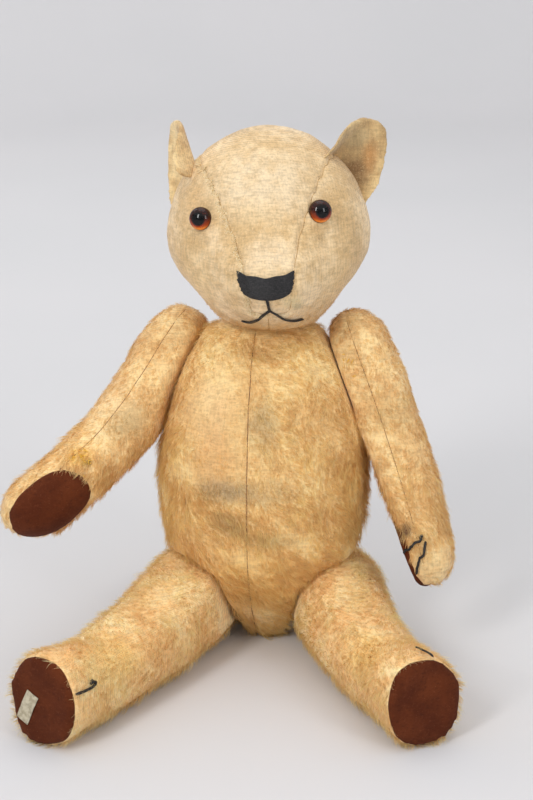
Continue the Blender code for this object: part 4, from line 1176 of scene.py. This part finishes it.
def build_eyes(tree):
    """A blown glass dome with a flatter back."""
    for side in SIDES:
        low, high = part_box("eye_" + side)
        middle = (low + high) / 2
        near, normal, _, _ = tree.find_nearest(middle)
        ahead = (HEAD.to_3x3() @ Vector((0, -1, 0)) * 0.9 + normal * 0.75).normalized()
        radius = EYE_RADIUS
        centre = near + normal * EYE_STAND_OFF
        turn = Vector((0, 0, 1)).rotation_difference(ahead).to_matrix()
        bm = bmesh.new()
        around, rows = 48, []
        profile = [(radius * math.sin(t), radius * 0.86 * math.cos(t)) for t in np.linspace(0, 1.75, 30)]
        profile += [(radius * 0.80, -radius * 0.38), (radius * 0.35, -radius * 0.48), (0, -radius * 0.5)]
        ring_layer = bm.verts.layers.float.new("ring")
        low_layer = bm.verts.layers.float.new("low")
        for out, along in profile:
            row = []
            for step in range(around if out > 1e-7 else 1):
                angle = math.tau * step / around
                offset = turn @ Vector((out * math.cos(angle), out * math.sin(angle), along))
                vert = bm.verts.new(centre + offset)
                vert[ring_layer] = out / radius if along > 0 else 1.0
                # low: how far down the eye a vertex lies, which the glass paint uses for its painted light.
                vert[low_layer] = -offset.z / radius
                row.append(vert)
            rows.append(row)
        loft(bm, rows)
        dress(new_object("glass_eye_" + side, written(bm, "eye")), "glass", "head", ["eye_" + side])


def shape_ear(ear, tree):
    """Curls the inner end of the ear forwards, and lays its outer end down along the head."""
    places = positions(ear.data)
    away = distances(tree, places)
    base = places[away < 4 * MM]
    middle = base.mean(axis=0)
    along = np.linalg.svd(base - middle, full_matrices=False)[2][0]
    rise = unit(places[away > away.max() * 0.85].mean(axis=0) - middle)
    along = unit(along - rise * (along @ rise))
    ahead = np.cross(along, rise)
    ahead *= -np.sign(ahead[1])
    across = (places - middle) @ along
    height = (places - middle) @ rise
    inner = -across * np.sign(along[0]) * np.sign(middle[0])
    inner = smooth_step(inner, 0.2 * inner.max(), 0.95 * inner.max())
    low_part = 1 - smooth_step(height, 16 * MM, 40 * MM)
    outwards = np.array((np.sign(middle[0]), 0, 0))
    places += np.outer(inner**1.5 * low_part * 12 * MM, ahead)
    places -= np.outer(inner * smooth_step(height, 5 * MM, 20 * MM) * 6 * MM, outwards)
    outer = smooth_step(across * np.sign(along[0]) * np.sign(middle[0]), 0.0, 0.024)
    places += np.outer(outer, (0.005, -0.002, -0.014) if middle[0] < 0 else (-0.006, 0, -0.005))
    places = relax(places, edges_of(ear.data), 16)
    places -= np.outer(1 - smooth_step(height, 0, 32 * MM), rise) * 7 * MM
    move_to(ear.data, places)


def build_ears(tree):
    for side in SIDES:
        names = [f"ear_{side}_front", f"ear_{side}_back"]
        ear = skin("ear_" + side, names, [], EAR_VOXEL, 5, swell=0.3 * MM, lump=0.5 * MM, fine=0)
        places = positions(ear.data)
        front, back = (distances(tree_of(n), places) for n in names)
        gap = back - front
        shape_ear(ear, tree)
        seam_pull(ear, [gap], 0.35 * MM, 0.8 * MM)
        surface = Surface(ear)
        behind = split(ear, gap, f"ear_{side}_back_cover")
        ear.name = f"ear_{side}_front_cover"
        dress(ear, "cloth_ear_" + side, "head", names[:1])
        dress(behind, "cloth_ear_" + side, "head", names[1:])
        middle = places.mean(axis=0)
        grow(f"ear_{side}_pile", "head", "pile_ear_" + side, surface, 7000, 81, lambda p, n: p - middle,
             lambda p: np.full(len(p), 1.6 * MM), width=0.22 * MM, lift=(45, 84), clump=2 * MM, knots=3,
             wild=0.7, slot="head_mohair")


def build_arm(side):
    body = "arm_" + side
    joint = "shoulder_" + side
    names = [f"paw_pad_{side}", f"arm_{side}_inner", f"arm_{side}_outer"]
    arm = skin(body, [*names, f"arm_{side}_stuffing"], [joint], VOXEL, 8)
    places = positions(arm.data)
    pad, inner, outer = (distances(tree_of(n), places) for n in names)
    pad_gap = pad - np.minimum(inner, outer)
    side_gap = np.where(pad > np.minimum(inner, outer), inner - outer, 1.0)
    inner_filling(body + "_filling", arm, body, f"arm_{side}_stuffing")
    seam_pull(arm, [pad_gap], 0.9 * MM, 1.4 * MM)
    seam_pull(arm, [side_gap], 0.8 * MM, 1.4 * MM)
    pad_cover = split(arm, pad_gap, f"paw_pad_{side}_felt")
    places = positions(arm.data)
    gap = distances(tree_of(names[1]), places) - distances(tree_of(names[2]), places)
    inner_cover = split(arm, gap, f"arm_{side}_inner_cover")
    arm.name = f"arm_{side}_outer_cover"
    dress(pad_cover, "felt", body, names[:1])
    dress(inner_cover, "cloth_arm_" + side, body, names[1:2])
    dress(arm, "cloth_arm_" + side, body, names[2:])
    sew(body + "_seam_thread", body, [pad_cover, inner_cover], [joint])
    shoulder = np.array(JOINTS[joint][0])
    tip = places[np.argmax(np.linalg.norm(places - shoulder, axis=1))]
    way = unit(tip - shoulder)

    def comb(points, normals):
        return way + np.array((0.25, 0, -0.45))

    def share_along(points):
        return (points - shoulder) @ way / np.linalg.norm(tip - shoulder)

    def density(points, normals):
        along = share_along(points)
        ahead = smooth_step(-normals[:, 1], -0.2, 0.6)
        upper = smooth_step(normals[:, 2], -0.5, 0.3)
        worn = ahead * (1 - smooth_step(along, 0.50, 0.62)) * (upper if side == "right" else 1) * 0.6
        paw = ahead * smooth_step(along, 0.80, 0.88) * (0.9 if side == "left" else 0.5)
        patch = 0.85 + 0.35 * waves(points, 0.018, 91)
        return np.clip((1 - worn - paw) * patch, 0.05, 1.5) * joint_fade(points, [joint], 6 * MM) + 1e-6

    def length(points):
        along = share_along(points)
        return (4.2 + 2.2 * smooth_step(along, 0.35, 0.6) - 2.0 * smooth_step(along, 0.82, 0.92)) * MM

    grow(body + "_pile", body, "pile_arm_" + side, Surface(arm, inner_cover), 24000, 95, comb, length,
         density=density, lift=(44, 80))
    tree = skin_tree(arm, inner_cover, pad_cover)
    if side == "right":
        lift_piece("paw_claws_right", "paw_claw_stitches_right", tree, 1.2 * MM, body)
        wrist = box_point(["paw_pad_right"], 0.85, 1.0, 1.15)
        mend("wrist_mending_stitches", tree, wrist, 0.0075, 26, body)
    else:
        ahead = unit(np.array((0.0, -1.0, 0.0)) + way * way[1])
        aside = np.cross(way, ahead)
        aside *= np.sign(aside[0])
        paths = (
            ((34, -14), (36, -4), (38, 6), (40, 10)),
            ((36, 13), (28, 6), (19, -4), (14, -11)),
        )
        ways = (-way, aside, ahead)
        claw_stitches("paw_claw_stitches_left", tip, ways, paths, tree, body, "paw_claws_left")
        shoulder_front = box_point(["arm_left_inner"], 0.2, 0.4, 0.85)
        mend("shoulder_mending_stitches", tree, shoulder_front, 0.0085, 8, body)
    return tree


def claw_stitches(name, start, ways, paths, tree, body, node):
    """Long black stitches over the pile, the first with a knot at its end.

    Each path is a list of steps in millimetres: back from the limb's end, and across the limb.
    """
    back, across, out = (Vector(way) for way in ways)
    lines = []
    for path in paths:
        points = [Vector(start) + (back * a + across * b + out * CLAW_REACH) * MM for a, b in path]
        lines.append(on_skin(tree, smooth_line(points), CLAW_LIFT))
    end = lines[0][-1]
    knot = [end + (back * a + across * b) * MM for a, b in ((-1, -1.5), (1, 0), (0, 1.5))]
    return dress(tubes(name, [*lines, smooth_line(knot)], CLAW_THREAD), "thread", body, [node])


def mend(name, tree, middle, spread, number, body):
    """Short untidy yellow stitches round a place."""
    rng = np.random.default_rng(number)
    lines = []
    for _ in range(number):
        start = Vector(middle) + Vector(rng.normal(0, spread / 2, 3))
        stop = start + Vector(rng.normal(0, 0.0022, 3))
        lines.append(on_skin(tree, [start, (start + stop) / 2, stop], 0.9 * MM))
    return dress(tubes(name, lines, 0.32 * MM), "yellow_thread", body, slot="thread")


def lift_piece(node, name, tree, lift, body):
    """A CAD thread moved out to lie on the pile."""
    mesh = NODES[node].data.copy()
    bm = bmesh_of(mesh)
    bmesh.ops.remove_doubles(bm, verts=bm.verts, dist=WELD)
    written(bm, mesh)
    places = []
    for vert in mesh.vertices:
        near, normal, _, _ = tree.find_nearest(vert.co)
        height = (vert.co - near).dot(normal)
        places.append(vert.co + normal * (lift + max(0.0, 0.2 * MM - height)))
    move_to(mesh, np.array([tuple(p) for p in places]))
    thing = new_object(name, mesh)
    subdivide = thing.modifiers.new("subdivide", "SUBSURF")
    subdivide.levels = subdivide.render_levels = 1
    applied(thing)
    return dress(thing, "thread", body, [node])


def build_leg(side):
    body = "leg_" + side
    joint = "hip_" + side
    names = [f"foot_pad_{side}", f"leg_{side}_cover"]
    leg = skin(body, [*names, f"insole_{side}", f"leg_{side}_stuffing"], [joint], VOXEL, 6)
    places = positions(leg.data)
    pad, cover = (distances(tree_of(n), places) for n in names)
    gap = pad - cover
    inner_filling(body + "_filling", leg, body, f"leg_{side}_stuffing")
    seam_pull(leg, [gap], 0.7 * MM, 1.3 * MM)
    pad_cover = split(leg, gap, f"foot_pad_{side}_felt")
    leg.name = f"leg_{side}_fabric"
    dress(pad_cover, "felt", body, names[:1])
    dress(leg, "cloth_leg_" + side, body, names[1:])
    sew(body + "_seam_thread", body, [pad_cover], [joint])
    hip = np.array(JOINTS[joint][0])
    low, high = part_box(f"foot_pad_{side}")
    sole = np.array((low + high) / 2)
    way = unit(sole - hip)

    def comb(points, normals):
        swirl = waves(points, 0.05, 101)[:, None] * np.array((0.0, 0.3, 0.5))
        return way * 0.9 + np.array((0.0, 0.0, -0.55)) + swirl

    def density(points, normals):
        patch = 0.95 + 0.25 * waves(points, 0.02, 103)
        return np.clip(patch, 0.2, 1.5) * joint_fade(points, [joint], 7 * MM) + 1e-6

    def length(points):
        near_sole = smooth_step(np.linalg.norm(points - sole, axis=1), 0.055, 0.035)
        return (7.4 - 0.6 * near_sole) * MM

    grow(body + "_pile", body, "pile_leg_" + side, Surface(leg), 32000, 105, comb, length,
         density=density, lift=(30, 74), curl=0.25, wild=0.38)
    tree = skin_tree(leg, pad_cover)
    if side == "right":
        up = unit(np.array((0.0, 0.0, 1.0)) - way * way[2])
        inner = np.cross(up, way)
        inner *= np.sign(inner[0])
        path = ((5, 13), (12, 12), (20, 11), (26, 11), (29, 13), (25, 15))
        ways = (-way, up, inner)
        claw_stitches("foot_claw_stitch_right", sole, ways, [path], tree, body, "foot_claws_right")
    else:
        lift_piece("foot_claws_left", "foot_claw_stitch_left", tree, 2.0 * MM, body)
    return tree


def build_label(tree):
    """A blank woven label on the sole, with slightly curling edges."""
    places = positions(NODES["foot_label"].data)
    middle = places.mean(axis=0)
    spread = np.linalg.svd(places - middle, full_matrices=False)[2]
    length, width, normal = (Vector(v) for v in spread)
    if normal.y > 0:
        normal = -normal
    across, along = 10, 20
    bm = bmesh.new()
    layers = []
    for height in (0.0, 0.35 * MM):
        grid = []
        for i in range(along + 1):
            row = []
            for k in range(across + 1):
                u, v = i / along - 0.5, k / across - 0.5
                place = Vector(middle) + length * LABEL_LENGTH * u + width * LABEL_WIDTH * v
                near = tree.find_nearest(place)[0]
                curl = 0.5 * MM * abs(2 * v) ** 3 * (0.5 + 0.5 * math.sin(7 * u + 1))
                rise = 0.35 * MM + curl + 0.1 * MM * math.sin(18 * u)
                row.append(bm.verts.new(near + normal * (rise + height)))
            grid.append(row)
        layers.append(grid)
    for i in range(along):
        for k in range(across):
            for grid in layers:
                bm.faces.new((grid[i][k], grid[i + 1][k], grid[i + 1][k + 1], grid[i][k + 1]))
    under, top = layers
    rim = [(0, k) for k in range(across)] + [(i, across) for i in range(along)]
    rim += [(along, across - k) for k in range(across)] + [(along - i, 0) for i in range(along)]
    for (a, b), (c, d) in zip(rim, rim[1:] + rim[:1]):
        bm.faces.new((under[a][b], under[c][d], top[c][d], top[a][b]))
    bmesh.ops.recalc_face_normals(bm, faces=bm.faces)
    piece = new_object("blank_foot_label", written(bm, "label"))
    label = dress(piece, "label", "leg_right", ["foot_label"])


def finish_hardware():
    for name, node in NODES.items():
        slot = SLOT_OF.get(name)
        if slot in ("card", "steel"):
            node.data.materials.clear()
            node.data.materials.append(MATERIALS[slot])


# Stage


def build_stage():
    """A pale round floor that curves up into a backdrop on every side."""
    radius, rise, top = 3.4, 0.9, 2.2
    profile = [(r, 0.0) for r in (0.0, 0.6, 1.4, radius - rise)]
    for angle in np.linspace(0.15, math.pi / 2, 10):
        profile.append((radius - rise + rise * math.sin(angle), rise - rise * math.cos(angle)))
    profile.append((radius, top))
    around, rows = 64, []
    bm = bmesh.new()
    for out, height in profile:
        angles = [math.tau * k / around for k in range(around if out > 0 else 1)]
        rows.append([bm.verts.new((out * math.cos(a), out * math.sin(a), height)) for a in angles])
    loft(bm, rows[::-1])
    mesh = written(bm, "stage")
    shade_smooth(mesh)
    stage = new_object("stage", mesh)
    mesh.materials.append(MATERIALS["stage"])


def area_light(name, place, aim, size, power):
    data = bpy.data.lights.new(name, "AREA")
    data.shape = "RECTANGLE"
    data.size, data.size_y = size
    data.energy = power
    light = bpy.data.objects.new(name, data)
    light.location = place
    light.rotation_euler = (Vector(aim) - Vector(place)).to_track_quat("-Z", "Y").to_euler()
    bpy.context.scene.collection.objects.link(light)


def build_lights():
    world = bpy.data.worlds.new("world")
    bpy.context.scene.world = world
    world.use_nodes = True
    background = world.node_tree.nodes["Background"]
    background.inputs["Color"].default_value = (0.96, 0.98, 1.0, 1)
    background.inputs["Strength"].default_value = 0.88
    area_light("key", (-1.0, -2.0, 1.55), (0, 0, 0.2), (0.5, 1.3), 27)
    area_light("fill", (1.7, -1.5, 1.1), (0, 0, 0.2), (0.5, 1.2), 11)
    area_light("top", (0.0, 0.3, 2.1), (0, 0, 0.1), (1.4, 1.4), 6)
    area_light("wall", (-1.2, 1.0, 1.9), (0.2, 3.0, 1.3), (1.0, 1.0), 16)
    scene = bpy.context.scene
    scene.view_settings.view_transform = "Standard"
    scene.view_settings.look = "None"


def build_camera():
    data = bpy.data.cameras.new("camera")
    data.lens = LENS
    data.sensor_width = 36.0
    turn, rise = math.radians(CAMERA_TURN), math.radians(CAMERA_RISE)
    way = Vector((math.sin(turn) * math.cos(rise), -math.cos(turn) * math.cos(rise), math.sin(rise)))
    camera = bpy.data.objects.new("camera", data)
    camera.location = AIM + way * CAMERA_DISTANCE
    camera.rotation_euler = (-way).to_track_quat("-Z", "Y").to_euler()
    bpy.context.scene.collection.objects.link(camera)
    bpy.context.scene.camera = camera


def main():
    make_materials()
    build_camera()
    build_stage()
    build_lights()
    build_torso()
    tree = build_head()
    build_eyes(tree)
    build_ears(tree)
    for side in SIDES:
        build_arm(side)
        tree = build_leg(side)
        if side == "right":
            build_label(tree)
    finish_hardware()


main()
